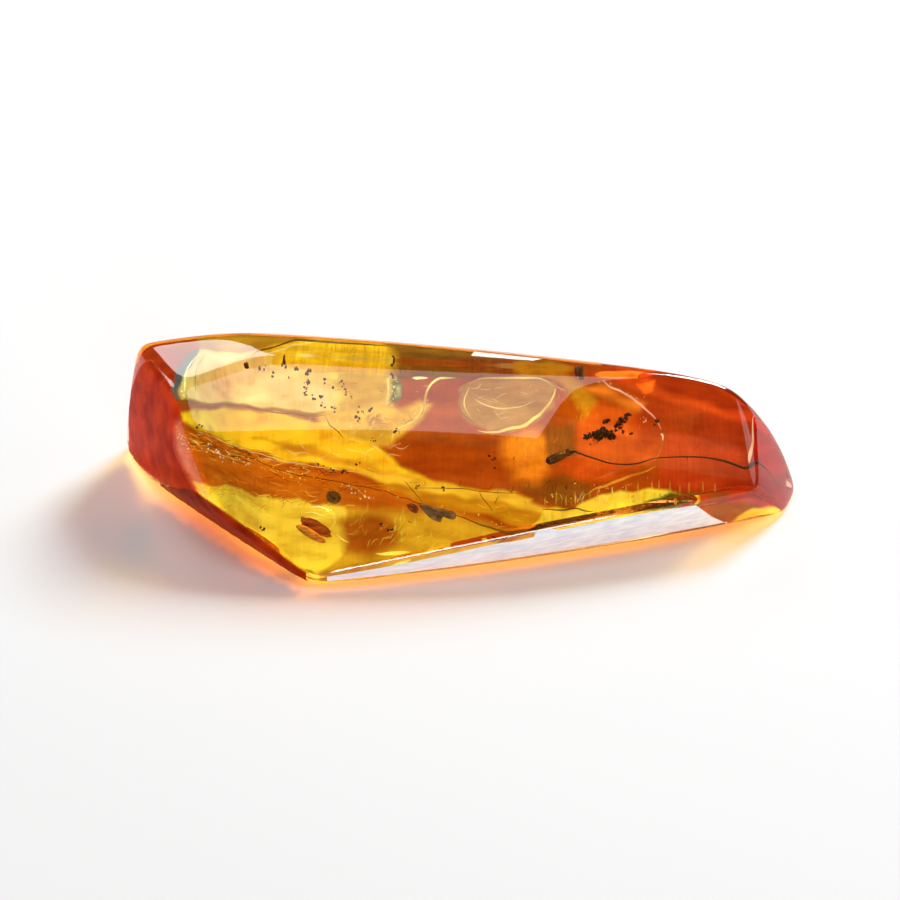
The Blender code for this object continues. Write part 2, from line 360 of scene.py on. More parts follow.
def smooth_path(knots, count):
    """Catmull-Rom curve through the knots, read at evenly spaced places along it."""
    knots = np.asarray(knots, float)
    padded = np.vstack([2 * knots[0] - knots[1], knots, 2 * knots[-1] - knots[-2]])
    t = np.linspace(0, 1, CURVE_STEPS, endpoint=False)[:, None]
    before, start, end, after = (padded[k : len(padded) - 3 + k, None] for k in range(4))
    fine = 0.5 * (
        2 * start + (end - before) * t + (2 * before - 5 * start + 4 * end - after) * t**2
        + (3 * start - before - 3 * end + after) * t**3
    )
    fine = np.vstack([fine.reshape(-1, knots.shape[1]), knots[-1:]])
    along = np.concatenate([[0], np.cumsum(np.linalg.norm(np.diff(fine, axis=0), axis=1))])
    marks = np.linspace(0, along[-1], count)
    return np.stack([np.interp(marks, along, column) for column in fine.T], axis=1)


TIP_REACH = 0.6  # a tube's closing point lies this many end radii past its last ring


def tube(path, radii, corners, flatness=1.0):
    """Closed tube: round each point of the path, a ring square to it, as wide as its radius.

    The ring is squeezed to this flatness along the seam's normal.
    """
    tangent = unit(np.gradient(path, axis=0))
    side = unit(np.cross(tangent, seam_axes()[1]))
    lift = np.cross(side, tangent)
    angle = np.linspace(0, 2 * pi, corners, endpoint=False)[None, :, None]
    spread = np.cos(angle) * side[:, None] + flatness * np.sin(angle) * lift[:, None]
    rings = path[:, None] + np.asarray(radii)[:, None, None] * spread
    start = path[0] - tangent[0] * radii[0] * TIP_REACH
    end = path[-1] + tangent[-1] * radii[-1] * TIP_REACH
    return rings_shape(start, rings, end)


def swelling(count, ends, power=0.6):
    """Radii that swell from a thin end to 1 in the middle and back: sine to a power."""
    return np.maximum(np.sin(np.linspace(0, pi, count)) ** power, ends)


def grain(rows, columns, seed, roughness):
    """A rough ball of radius 1: from its middle, reach 1 plus a few waves round and along it."""
    chance = np.random.default_rng(seed)
    down = np.linspace(0, pi, rows + 2)[:, None]
    turn = np.linspace(0, 2 * pi, columns, endpoint=False)[None, :]
    reach = np.ones((rows + 2, columns))
    for waves in (1, 2, 3):
        a, b, size = chance.uniform(0, 2 * pi, 2).tolist() + [roughness / waves**0.5]
        reach = reach + size * np.sin(down) * np.sin(waves * turn + a) * np.cos(waves * down + b)
    ball = np.stack(
        [np.sin(down) * np.cos(turn), np.sin(down) * np.sin(turn), np.cos(down) + 0 * turn], -1
    ) * reach[..., None]
    return rings_shape(ball[0].mean(axis=0), ball[1:-1], ball[-1].mean(axis=0))


def random_frames(count, sizes, chance, flatness=1.0):
    """Three axes at right angles for each copy, turned at random and as long as its size."""
    first = unit(chance.normal(size=(count, 3)))
    second = unit(np.cross(first, chance.normal(size=(count, 3))))
    third = np.cross(first, second) * flatness
    return np.stack([first, second, third], axis=1) * np.asarray(sizes)[:, None, None]


# ---------------------------------------------------------------------------------------------
# Shader nodes
# ---------------------------------------------------------------------------------------------


def linear(colour):
    """sRGB hex to linear red, green, blue."""
    parts = np.array([int(colour[i : i + 2], 16) for i in (0, 2, 4)]) / 255
    return np.where(parts <= 0.04045, parts / 12.92, ((parts + 0.055) / 1.055) ** 2.4)


def add_node(tree, kind, settings=None, links=None):
    """A shader node with its attributes or input values set, and its inputs linked."""
    node = tree.nodes.new("ShaderNode" + kind)
    for key, value in (settings or {}).items():
        if isinstance(key, str) and hasattr(node, key):
            setattr(node, key, value)
        else:
            node.inputs[key].default_value = value
    for key, source in (links or {}).items():
        tree.links.new(source, node.inputs[key])
    return node


def new_material(name):
    """An empty material, its tree and its output node."""
    made = bpy.data.materials.new(name)
    made.use_nodes = True
    made.node_tree.nodes.clear()
    return made, made.node_tree, made.node_tree.nodes.new("ShaderNodeOutputMaterial")


def rgba(colour):
    return (*linear(colour), 1.0)


def lamp_tint(tree, shader, tint):
    """Lamplight passes straight through, times this tint; the eye still sees the shader."""
    light = add_node(tree, "LightPath")
    way = add_node(tree, "BsdfTransparent", {"Color": rgba(tint)})
    return add_node(
        tree, "MixShader", {}, {0: light.outputs["Is Shadow Ray"], 1: shader, 2: way.outputs[0]})


NOISE_LOW, NOISE_HIGH = 0.32, 0.68  # nearly all of a noise texture lies between these


def mottled(tree, size, detail, dark, pale, stretch=(1, 1, 1), turn=0.0):
    """Tints that wander between two colours over `size` mm, drawn out along the stretched axes.

    The second output is the bare noise, for a bump.
    """
    place = add_node(tree, "TexCoord")
    scale = tuple(1 / (size * MM * side) for side in stretch)
    turned = add_node(
        tree, "Mapping", {"Scale": scale, "Rotation": (0, 0, radians(turn))},
        {"Vector": place.outputs["Object"]},
    )
    noise = add_node(
        tree, "TexNoise", {"Scale": 1.0, "Detail": detail}, {"Vector": turned.outputs[0]})
    ramp = add_node(tree, "ValToRGB", {}, {"Fac": noise.outputs["Fac"]})
    low, high = ramp.color_ramp.elements
    low.position, low.color = NOISE_LOW, rgba(dark)
    high.position, high.color = NOISE_HIGH, rgba(pale)
    return ramp.outputs[0], noise.outputs["Fac"]


AMBER_ABSORPTION_COLOUR = np.array([0.93, 0.62, 0.05])  # linear red, green and blue
AMBER_ABSORPTION_DENSITY = 190.0  # per metre: each colour loses 1 less its share, times this


def amber_material():
    """Baltic amber, polished: clear and honey-coloured, with an IOR of 1.54.

    It absorbs blue first and then green, so that a thin part is yellow and a long way through it
    is orange, then red. Lamplight goes straight through it with a honey tint, besides what the
    depth absorbs, which leaves an amber glow in its shadow.
    """
    made, tree, output = new_material("polished_baltic_amber")
    skin = add_node(tree, "Attribute", {"attribute_name": "skin"})
    shader = add_node(
        tree, "BsdfPrincipled",
        {"Roughness": 0.0, "IOR": AMBER_IOR, "Transmission Weight": 1.0},
        {"Base Color": skin.outputs["Color"]},
    )
    volume = add_node(
        tree, "VolumeAbsorption",
        {"Color": (*AMBER_ABSORPTION_COLOUR, 1.0), "Density": AMBER_ABSORPTION_DENSITY},
    )
    mixed = lamp_tint(tree, shader.outputs[0], "eedc8c")
    tree.links.new(mixed.outputs[0], output.inputs["Surface"])
    tree.links.new(volume.outputs[0], output.inputs["Volume"])
    return made


def ground_material():
    """Amber ground on a fine stone and left unpolished: milky, with streaks of finer grinding.

    The streaks are 0.3 mm apart and 9 mm long, coarser than the grit's own scratches, which are
    too fine to show. An eighth of the light that reaches it goes through, in or out of the stone.
    """
    made, tree, output = new_material("ground_amber")
    colour, grit = mottled(tree, 0.3, 3.0, "d0dcf2", "eaf5ff", stretch=(30, 1, 1), turn=14)
    bump = add_node(tree, "Bump", {"Distance": 0.02 * MM}, {"Height": grit})
    face = add_node(
        tree, "BsdfPrincipled", {"Roughness": 0.4, "IOR": AMBER_IOR},
        {"Base Color": colour, "Normal": bump.outputs[0]},
    )
    through = add_node(tree, "BsdfTranslucent", {}, {"Color": colour})
    both = add_node(
        tree, "MixShader", {0: 0.12}, {1: face.outputs[0], 2: through.outputs[0]})
    mixed = lamp_tint(tree, both.outputs[0], "d8cfc8")
    tree.links.new(mixed.outputs[0], output.inputs["Surface"])
    return made


RIND_IOR = 1.12  # low, because a weathered skin mirrors less than fresh amber does


def rind_and_shade_material(name, dark, pale):
    """The stone's oxidised rind, where it was left on: red-brown, hardly clear, softly polished.

    Its patches are 1.5 mm wide, and a third of the light that reaches it glows through. The
    "cover" attribute says where it thins out to bare amber. On the left bevel, in its darker
    colours, it is painted shade as well as rind.
    """
    made, tree, output = new_material(name)
    colour, rough = mottled(tree, 1.5, 5.0, dark, pale, stretch=(1.4, 1, 1))
    bump = add_node(tree, "Bump", {"Distance": 0.05 * MM}, {"Height": rough})
    face = add_node(
        tree, "BsdfPrincipled", {"Roughness": 0.3, "IOR": RIND_IOR},
        {"Base Color": colour, "Normal": bump.outputs[0]},
    )
    through = add_node(tree, "BsdfTranslucent", {}, {"Color": colour})
    both = add_node(tree, "MixShader", {0: 0.35}, {1: face.outputs[0], 2: through.outputs[0]})
    mixed = lamp_tint(tree, both.outputs[0], "d8b8a8")
    cover = add_node(tree, "Attribute", {"attribute_name": "cover"})
    bare = add_node(tree, "BsdfTransparent")
    whole = add_node(
        tree, "MixShader", {}, {0: cover.outputs["Fac"], 1: bare.outputs[0], 2: mixed.outputs[0]})
    tree.links.new(whole.outputs[0], output.inputs["Surface"])
    return made


# Painted light: the strength of the emission that makes the flow layer, its lines and sparkles glow
FLOW_PAINTED_GLOW = 0.8
LAMPS_WITHIN = np.array([0.6, 0.12, 0.03])  # what lamplight that comes through the stone adds


def flow_material():
    """Cloudy resin: layers and cracks full of tiny bubbles, which scatter light many times.

    The part of their light that has been scattered many times is painted in as an emission glow,
    which is painted light, for no lamp is inside. Its colour wanders from full to a browner half
    in patches 1.1 mm wide and 2.6 mm long, and where "streaks" says so it has upright threads
    0.2 mm apart, drawn by the resin as it ran.
    """
    made, tree, output = new_material("cloudy_resin_painted_glow")
    colour = add_node(tree, "Attribute", {"attribute_name": "flow"})
    cloud = add_node(tree, "Attribute", {"attribute_name": "cloud"})
    streaks = add_node(tree, "Attribute", {"attribute_name": "streaks"})
    drift, _ = mottled(tree, 1.1, 7.0, "d6c4a4", "ffffff", stretch=(2.4, 1, 1), turn=10)
    threads, _ = mottled(tree, 0.2, 2.0, "bcae9c", "ffffff", stretch=(1, 14, 14))
    some = add_node(
        tree, "Mix", {"data_type": "VECTOR", 4: (1, 1, 1)},
        {0: streaks.outputs["Fac"], 5: threads})
    first = add_node(
        tree, "VectorMath", {"operation": "MULTIPLY"}, {0: colour.outputs["Vector"], 1: drift})
    paint = add_node(
        tree, "VectorMath", {"operation": "MULTIPLY"}, {0: first.outputs[0], 1: some.outputs[1]})
    clear = add_node(tree, "BsdfTransparent")
    through = add_node(tree, "BsdfTranslucent", {}, {"Color": paint.outputs[0]})
    # Painted light: the paint itself shines, though no lamp is there
    glow = add_node(tree, "Emission", {"Strength": FLOW_PAINTED_GLOW}, {"Color": paint.outputs[0]})
    lit = add_node(tree, "AddShader", {}, {0: through.outputs[0], 1: glow.outputs[0]})
    both = add_node(
        tree, "MixShader", {}, {0: cloud.outputs["Fac"], 1: clear.outputs[0], 2: lit.outputs[0]})
    mixed = lamp_tint(tree, both.outputs[0], "f0dc80")
    tree.links.new(mixed.outputs[0], output.inputs["Surface"])
    return made


def cuticle_material():
    """Insect cuticle: dark horn, softly glossy, with pits 0.07 mm apart.

    It is near black at the tail, olive-brown further on and dark brown from the head forwards.
    """
    made, tree, output = new_material("insect_cuticle")
    along = add_node(tree, "Attribute", {"attribute_name": "along"})
    ramp = add_node(tree, "ValToRGB", {}, {"Fac": along.outputs["Fac"]})
    tail, middle = ramp.color_ramp.elements
    tail.position, tail.color = 0.25, rgba("1c0e05")
    middle.position, middle.color = 0.55, rgba("5a4a12")
    ramp.color_ramp.elements.new(0.9).color = rgba("2c1606")
    spots, pits = mottled(tree, 0.07, 2.0, "8c8070", "ffffff")
    paint = add_node(
        tree, "VectorMath", {"operation": "MULTIPLY"}, {0: ramp.outputs[0], 1: spots})
    bump = add_node(tree, "Bump", {"Distance": 0.02 * MM}, {"Height": pits})
    shader = add_node(
        tree, "BsdfPrincipled", {"Roughness": 0.4},
        {"Base Color": paint.outputs[0], "Normal": bump.outputs[0]},
    )
    tree.links.new(shader.outputs[0], output.inputs["Surface"])
    return made


def debris_material(name, size, dark, pale, stretch=(1, 1, 1), turn=0.0, roughness=0.7):
    """Dry plant or soil matter: matt and patchy, its grain `size` mm wide, with a rough skin."""
    made, tree, output = new_material(name)
    colour, rough = mottled(tree, size, 4.0, dark, pale, stretch, turn)
    bump = add_node(tree, "Bump", {"Distance": 0.04 * MM}, {"Height": rough})
    shader = add_node(
        tree, "BsdfPrincipled", {"Roughness": roughness},
        {"Base Color": colour, "Normal": bump.outputs[0]},
    )
    tree.links.new(shader.outputs[0], output.inputs["Surface"])
    return made


# ---------------------------------------------------------------------------------------------
# The stone and its skins
# ---------------------------------------------------------------------------------------------

STONE_RINGS, STONE_SPOKES = 240, 380
RUST_FROM, RUST_TO = 17, 23  # the narrow end turns rust-coloured from this x to this one


def make_amber():
    """The whole stone: from the heart, each heading's reach to where the field is zero.

    The headings are rings about the X axis, drawn out to the stone's proportions. Its skin is clear
    but for a rust tint: full on the left bevel, where it is also painted shade, and half as strong
    or less at both ends.
    """
    ring = np.linspace(0, pi, STONE_RINGS + 2)[1:-1, None]
    spoke = np.linspace(0, 2 * pi, STONE_SPOKES, endpoint=False)[None, :]
    ball = np.stack(
        [-np.cos(ring) + 0 * spoke, np.sin(ring) * np.cos(spoke), np.sin(ring) * np.sin(spoke)], -1)
    poles = np.array([[-1.0, 0, 0], [1.0, 0, 0]])
    _, quads, tris = rings_shape(poles[0], ball, poles[1])
    headings = unit(np.concatenate([poles[:1], ball.reshape(-1, 3), poles[1:]]) * PROPORTIONS)
    points = HEART + headings * reach_along(HEART, headings)[:, None]
    _, gradient, shares = stone_field(points)
    amber = new_piece("amber", (points, quads, tris), amber_material())
    amber.data.normals_split_custom_set_from_vertices(unit(gradient).tolist())
    facet = list(FACETS)
    red = np.maximum.reduce([
        smooth(shares[facet.index("left_end")], 0.2, 0.8) * 0.4,
        # Painted shade as well as rust: the full tint darkens what the left bevel shows
        smooth(shares[facet.index("left_bevel")], 0.2, 0.8),
        smooth(points[:, 0], RUST_FROM, RUST_TO) * 0.5,
    ])
    clear, rust = linear("ffffff"), linear("e08a60")
    set_values(amber, "skin", clear + (rust - clear) * red[:, None])
    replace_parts(amber, "amber_upper", "amber_lower")


# The part of the frame that the stone shows in, and the steps that a facet is looked for in
FRAME_COLUMNS, FRAME_ROWS = (120, 800, 9.0), (330, 600, 1.5)


def facet_span(name, columns):
    """Frame columns where a facet shows, and its top and bottom there, as cubic curves."""
    rough, down = np.arange(*FRAME_COLUMNS), np.arange(*FRAME_ROWS)
    x, y = np.meshgrid(rough, down, indexing="ij")
    entry, _, hit = enter_stone(np.stack([x.ravel(), y.ravel()], axis=1))
    share = stone_field(entry)[2][list(FACETS).index(name)]
    shows = (hit & (share > 0.5)).reshape(x.shape)
    seen = shows.sum(axis=1) > 2
    first, last = rough[seen][0], rough[seen][-1]
    top = down[shows.argmax(axis=1)][seen]
    bottom = down[len(down) - 1 - shows[:, ::-1].argmax(axis=1)][seen]
    across = np.linspace(first, last, columns)
    fits = [np.polyfit(rough[seen] - first, edge, 3) for edge in (top, bottom)]
    return across, *[np.polyval(fit, across - first) for fit in fits]


SKIN_LIFT, SKIN_DEPTH = 0.015, 0.05
GROUND_COLUMNS, BEVEL_COLUMNS, END_COLUMNS = 260, 140, 90
GROUND_END = 727.0  # frame column where the ground face gives way to polish
# The ground face's upper edge at its right corner: frame column and row
GROUND_CORNER = ((690, 500), (712, 516), (728, 523))
# The broken stretch of that edge: frame column, and how far down it is moved
GROUND_CHIP = ((500, 0), (512, 1.5), (534, 1.5), (536, -4), (552, -3), (560, 0))
# Where the rinds end, and the lines between which the bevel's skin, which is painted shade, lies
END_OUTLINE = (
    (120, 352), (146, 351), (158, 366), (166, 384), (174, 398), (182, 404), (182, 414),
    (174, 424), (174, 446), (180, 462), (188, 478), (200, 500), (206, 520), (110, 520))
BEVEL_OUTLINE = (
    (140, 477), (160, 483), (170, 487), (180, 489), (190, 489), (200, 495), (213, 504),
    (247, 528), (273, 549), (297, 567), (310, 575), (310, 600), (140, 600))
BEVEL_TOP = ((160, 462), (188, 474), (213, 498), (247, 521), (273, 543), (297, 562), (306, 570))
BEVEL_BOTTOM = (
    (160, 487), (180, 501), (200, 515), (240, 541), (280, 567), (300, 579), (306, 582))


def skin_patch(name, across, top, bottom, finish, rows=24, outline=None, softness=0):
    """A thin skin on the stone, between two lines of the frame.

    Its front is the surface itself, lifted along its normal, and its back the surface sunk. Past
    the outline, if there is one, it thins out over this many frame units.
    """
    share = np.linspace(0, 1, rows)[:, None]
    spots = np.stack([across + 0 * share, bottom + (top - bottom) * share], axis=-1)
    spots = spots.reshape(-1, 2)
    entry, _, _ = enter_stone(kept_on_stone(spots))
    outward = unit(stone_field(entry)[1])
    shape = slab_shape(*[
        (entry + outward * move).reshape(rows, -1, 3) for move in (SKIN_LIFT, -SKIN_DEPTH)])
    skin = new_piece(name, shape, finish)
    if outline:
        set_values(skin, "cover", np.tile(coverage(spots, outline, softness), 2))


def make_skins():
    """The ground front face, with its broken upper edge, the left end's rind and the bevel's
    painted shade.
    """
    columns, top, bottom = facet_span("front_cut", GROUND_COLUMNS)
    across = columns[0] + (GROUND_END - columns[0]) * np.linspace(0, 1, GROUND_COLUMNS)
    top, bottom = np.interp(across, columns, top), np.interp(across, columns, bottom)
    top = np.maximum(top, np.interp(across, *zip(*GROUND_CORNER)))
    chip = np.interp(across, *zip(*GROUND_CHIP))
    skin_patch("ground_face", across, top + 1 + chip, bottom - 1, ground_material())

    across = np.linspace(BEVEL_TOP[0][0], BEVEL_TOP[-1][0], BEVEL_COLUMNS)
    top, bottom = np.interp(across, *zip(*BEVEL_TOP)), np.interp(across, *zip(*BEVEL_BOTTOM))
    # Painted shade: the bevel's dark rind is laid where the bevel shows dark
    skin_patch(
        "bevel_rind_painted_shade", across, top, bottom, rind_and_shade_material("dark_rind_painted_shade", "701402", "a03c0a"),
        rows=40, outline=BEVEL_OUTLINE, softness=2)

    across, top, bottom = facet_span("left_end", END_COLUMNS)
    skin_patch(
        "end_rind", across, top + 1, np.maximum(bottom + 1, top + 2),
        rind_and_shade_material("red_amber_rind", "b42c02", "dc5010"), rows=60, outline=END_OUTLINE,
        softness=6)


# ---------------------------------------------------------------------------------------------
# The resin's flows. It ran in layers, and one of them, behind all that the stone holds, carries
# its cloudy and rust-coloured parts, which glow with painted light; a few of its zones are painted
# glints, reflection and shade. Its edges in the frame lie just within the stone's edges.
# ---------------------------------------------------------------------------------------------

FLOW_TOP = (
    (131, 402), (136, 366), (142, 350), (150, 345), (160, 344), (170, 342), (180, 341), (190, 340),
    (200, 338), (220, 337), (240, 335), (260, 336), (280, 337), (300, 338), (340, 341), (360, 342),
    (400, 345), (460, 351), (520, 356), (560, 361), (600, 366), (640, 371), (680, 378), (700, 382),
    (720, 387), (740, 400), (760, 420), (770, 433), (780, 452), (786, 467),
)
FLOW_BOTTOM = (
    (131, 451), (136, 458), (142, 466), (150, 474), (160, 479), (170, 484), (180, 488), (190, 494),
    (200, 499), (210, 504), (220, 509), (240, 526), (260, 541), (280, 557), (300, 572), (310, 578),
    (320, 577), (340, 573), (360, 568), (400, 560), (460, 548), (520, 536), (560, 528), (600, 520),
    (640, 512), (680, 504), (700, 500), (720, 497), (740, 493), (760, 493), (770, 500), (786, 503),
)
FOOT_TOP = ((688, 506), (700, 504), (720, 501), (740, 497), (760, 497), (770, 504), (782, 511))
FOOT_BOTTOM = (
    (688, 507), (712, 517), (727, 524), (740, 520), (760, 515), (770, 514), (782, 511.5))
# The ridge at the stone's left end, where the layer rises to its surface: frame y and x
LEFT_RIDGE = ((345, 165), (385, 172), (405, 180), (439, 190), (469, 200), (495, 210), (511, 220))
RIDGE_FADE = 55  # the layer is at its full depth this many frame units from the ridge
FLOW_COLUMNS, FLOW_ROWS = 380, 128
FOOT_COLUMNS, FOOT_ROWS = 120, 24
COARSER = 4  # a sheet's depths are worked out on a grid with this many times fewer rows and columns
FLOW_DEPTH_SHARE = 0.62  # of the way through the stone, along the line of sight
RIDGE_DEPTH_SHARE = 0.1
FOOT_NEARNESS = 0.5  # the foot lies at this share of the layer's depth
FLOW_BEHIND_SEAM = 0.9
FLOW_COVER, LEAST_DEPTH = 0.3, 0.1  # amber left behind the layer, and before it
FLOW_THICKNESS = 0.12
CLEARNESS = 0.35  # of what the zones leave clear, this share stays so
BARE_STREAKS, ZONE_STREAKS = 0.2, 0.1  # threads outside the zones, and in one that names none
FLOW_GROUND = ("a84202", 0.85)  # colour and cloudiness between the zones

# name: (colour, how cloudy, softness of the edge, outline), painted in this order
FLOW_ZONES = {
    "rust_right": ("bc380c", 0.85, 12, (
        (560, 340), (800, 330), (800, 520), (715, 520), (655, 485), (662, 434), (641, 405),
        (621, 387), (593, 370))),
    "rust_end": ("b41a06", 0.85, 2, (
        (757, 400), (753, 425), (751, 441), (750, 465), (754, 484), (783, 512), (820, 480),
        (800, 420))),
    "rust_left": ("b0330c", 0.9, 5, (
        (120, 330), (150, 335), (178, 352), (180, 400), (181, 425), (176, 440), (186, 470),
        (200, 500), (190, 520), (110, 470))),
    # Painted reflection: the grey-slate patch at the top-left corner
    "slate_corner": ("606868", 0.9, 2, (
        (176, 366), (192, 350), (202, 350), (191, 366), (185, 378), (180, 389), (180, 401),
        (171, 398), (175, 382))),
    "cylinder": ("ffe47e", 0.85, 2, (
        (180, 400), (180, 389), (185, 378), (191, 366), (200, 350), (244, 352), (285, 361),
        (311, 366), (350, 370), (392, 369), (392, 405), (350, 412), (330, 413), (311, 416),
        (283, 412), (254, 406), (206, 403))),
    "cylinder_right": ("d29c32", 0.85, 12, (
        (335, 366), (392, 368), (392, 406), (350, 412), (335, 412))),
    "cylinder_seam": ("9a5a14", 0.9, 2.5, (
        (176, 403), (184, 400), (206, 401), (250, 404), (283, 409), (330, 412), (345, 410),
        (345, 414), (311, 419), (283, 414), (250, 408), (206, 405), (184, 406))),
    "glass_bubble": ("6a6a3a", 0.9, 2, (
        (391, 381), (398, 379), (402, 386), (402, 397), (397, 405), (391, 402))),
    "bubble_heart": ("b8b070", 0.9, 2, (
        (395, 386), (400, 386), (401, 396), (396, 399))),
    "brown_crown": ("a87414", 0.8, 4, (
        (200, 325), (330, 325), (420, 340), (490, 355), (470, 366), (420, 355), (378, 339),
        (330, 335), (311, 336), (292, 340), (273, 347), (252, 354), (200, 352))),
    "golden_fan": ("ffbf1c", 0.85, 3, (
        (252, 354), (273, 347), (292, 341), (311, 337), (330, 335), (355, 336), (378, 340),
        (400, 350), (400, 370), (385, 372), (350, 370), (311, 366), (285, 361))),
    "olive_crown": ("80500c", 0.8, 8, (
        (385, 340), (420, 340), (500, 352), (560, 358), (560, 372), (400, 371))),
    "veined_brown": ("8c3a12", 0.8, 5, (
        (455, 362), (516, 360), (520, 372), (455, 372))),
    "honey_bumps": ("dca232", 0.9, 4, (
        (318, 416), (330, 411), (386, 404), (400, 410), (420, 400), (430, 404), (421, 420),
        (398, 438), (390, 446), (375, 447), (345, 440), (325, 432))),
    "brown_square": ("b07414", 0.9, 2, (
        (367, 415), (381, 415), (382, 426), (367, 426))),
    "yellow_band": ("ffd420", 0.95, 3, (
        (183, 414), (193, 409), (227, 409), (264, 412), (292, 417), (330, 426), (345, 434),
        (375, 446), (392, 458), (400, 467), (413, 473), (430, 479), (447, 485), (462, 488),
        (500, 493), (530, 499), (520, 506), (470, 500), (420, 490), (380, 480), (358, 472),
        (340, 468), (311, 464), (283, 460), (254, 450), (227, 442), (200, 431), (185, 421))),
    "band_shade": ("d8901a", 0.95, 5, (
        (250, 436), (300, 444), (350, 458), (400, 473), (440, 486), (400, 480), (350, 468),
        (300, 456))),
    "brown_fracture": ("c46002", 0.85, 3, (
        (172, 425), (195, 432), (227, 444), (255, 455), (290, 468), (340, 476), (380, 484),
        (420, 495), (460, 508), (530, 537), (470, 522), (420, 508), (380, 497), (340, 490),
        (300, 483), (260, 478), (220, 470), (195, 462), (178, 450))),
    "orange_cloud": ("c36108", 0.85, 4, (
        (176, 452), (195, 462), (260, 478), (340, 490), (380, 497), (420, 508), (400, 512),
        (330, 506), (313, 505), (298, 499), (283, 501), (265, 495), (254, 498), (243, 490),
        (227, 484), (210, 486), (190, 482))),
    "lower_yellow": ("f6cf3a", 0.8, 2, (
        (190, 482), (210, 486), (227, 484), (243, 490), (254, 498), (265, 495), (283, 501),
        (298, 499), (313, 505), (323, 503), (334, 507), (345, 507), (350, 540), (340, 560),
        (318, 578), (300, 575), (270, 552), (225, 518))),
    "lower_honey": ("d8a21e", 0.8, 6, (
        (345, 507), (400, 512), (440, 510), (470, 520), (534, 540), (534, 548), (460, 556),
        (400, 563), (345, 571), (325, 574), (340, 555), (350, 540))),
    "amber_stream": ("ca860c", 0.9, 3, (
        (380, 482), (410, 488), (440, 494), (470, 497), (500, 500), (530, 506), (560, 520),
        (540, 540), (530, 534), (500, 520), (470, 511), (440, 506), (410, 498), (390, 490))),
    "brown_pool": ("a45006", 0.9, 9, (
        (340, 520), (372, 512), (400, 524), (396, 545), (372, 560), (345, 552))),
    "pale_stream": ("e8b42c", 0.9, 2.5, (
        (358, 472), (400, 475), (425, 482), (450, 486), (480, 490), (515, 492), (533, 503),
        (550, 510), (594, 511), (594, 515), (560, 518), (535, 512), (505, 503), (470, 497),
        (440, 494), (410, 488), (385, 481))),
    "yellow_window": ("fcdc3c", 0.95, 2, (
        (530, 540), (545, 512), (560, 508), (575, 508), (588, 500), (620, 492), (652, 489),
        (676, 493), (690, 496), (700, 512), (650, 522), (600, 530))),
    "brown_hump": ("8a4606", 0.9, 3, (
        (517, 488), (530, 480), (550, 477), (570, 477), (589, 480), (589, 495), (575, 505),
        (560, 507), (545, 503), (530, 496))),
    "olive_patch": ("6e500e", 0.9, 2, (
        (643, 505), (660, 498), (672, 493), (690, 494), (712, 497), (718, 506), (700, 510),
        (680, 509), (663, 509))),
    "brown_foot": ("8e3e12", 0.9, 3, (
        (706, 502), (724, 499), (745, 501), (760, 505), (773, 512), (767, 518), (732, 523),
        (712, 518))),
    "pale_disc": ("ac7236", 0.85, 2, (
        (458, 402), (460, 390), (470, 380), (490, 374), (515, 371), (540, 375), (554, 384),
        (557, 396), (553, 408), (541, 419), (526, 427), (508, 431), (488, 432), (472, 424),
        (462, 414))),
    "olive_fan": ("c87c10", 0.85, 5, (
        (516, 366), (529, 363), (549, 362), (562, 366), (570, 373), (583, 384), (593, 396),
        (598, 410), (598, 430), (586, 430), (580, 410), (574, 395), (560, 384), (552, 379),
        (545, 372), (530, 373), (516, 381))),
    "orange_glow": ("ee8214", 0.85, 9, (
        (503, 440), (515, 432), (540, 430), (548, 440), (548, 470), (540, 480), (515, 480),
        (505, 465))),
    "brown_streaks": ("964b0a", 0.85, 4, (
        (546, 426), (576, 424), (576, 456), (548, 456))),
    "orange_right": ("d4500c", 0.85, 6, (
        (578, 424), (600, 400), (640, 410), (660, 440), (650, 462), (604, 480), (575, 478),
        (556, 466), (576, 456))),
    "deep_orange": ("ae3406", 0.85, 9, (
        (634, 402), (650, 408), (664, 428), (655, 450), (636, 448))),
    # Painted shade: a darker red under the top ridge, where the lamps light the layer more than the
    # red around it
    "rust_crown": ("8a2404", 0.85, 5, (
        (650, 372), (690, 376), (730, 392), (745, 410), (720, 408), (690, 398), (655, 392))),
    "tip_glow": ("f8c83c", 0.95, 2, (
        (730, 524), (738, 516), (752, 510), (768, 507), (790, 508), (785, 516), (750, 524))),
    "orange_glints": ("f87a1e", 0.9, 5, (
        (587, 387), (600, 385), (632, 398), (645, 405), (640, 412), (610, 400), (590, 392))),
    "red_glint": ("ff5a14", 0.9, 2, (
        (638, 383), (654, 381), (652, 392), (642, 394))),
}

# How strongly upright threads show in a zone
FLOW_STREAKS = {
    "cylinder": 0.25, "veined_brown": 0.6, "brown_streaks": 0.6, "orange_right": 0.25,
    "orange_glow": 0.3, "golden_fan": 0.4, "yellow_window": 0.4, "rust_right": 0.25,
    "yellow_band": 0.3, "orange_cloud": 0.2, "lower_yellow": 0.15,
}


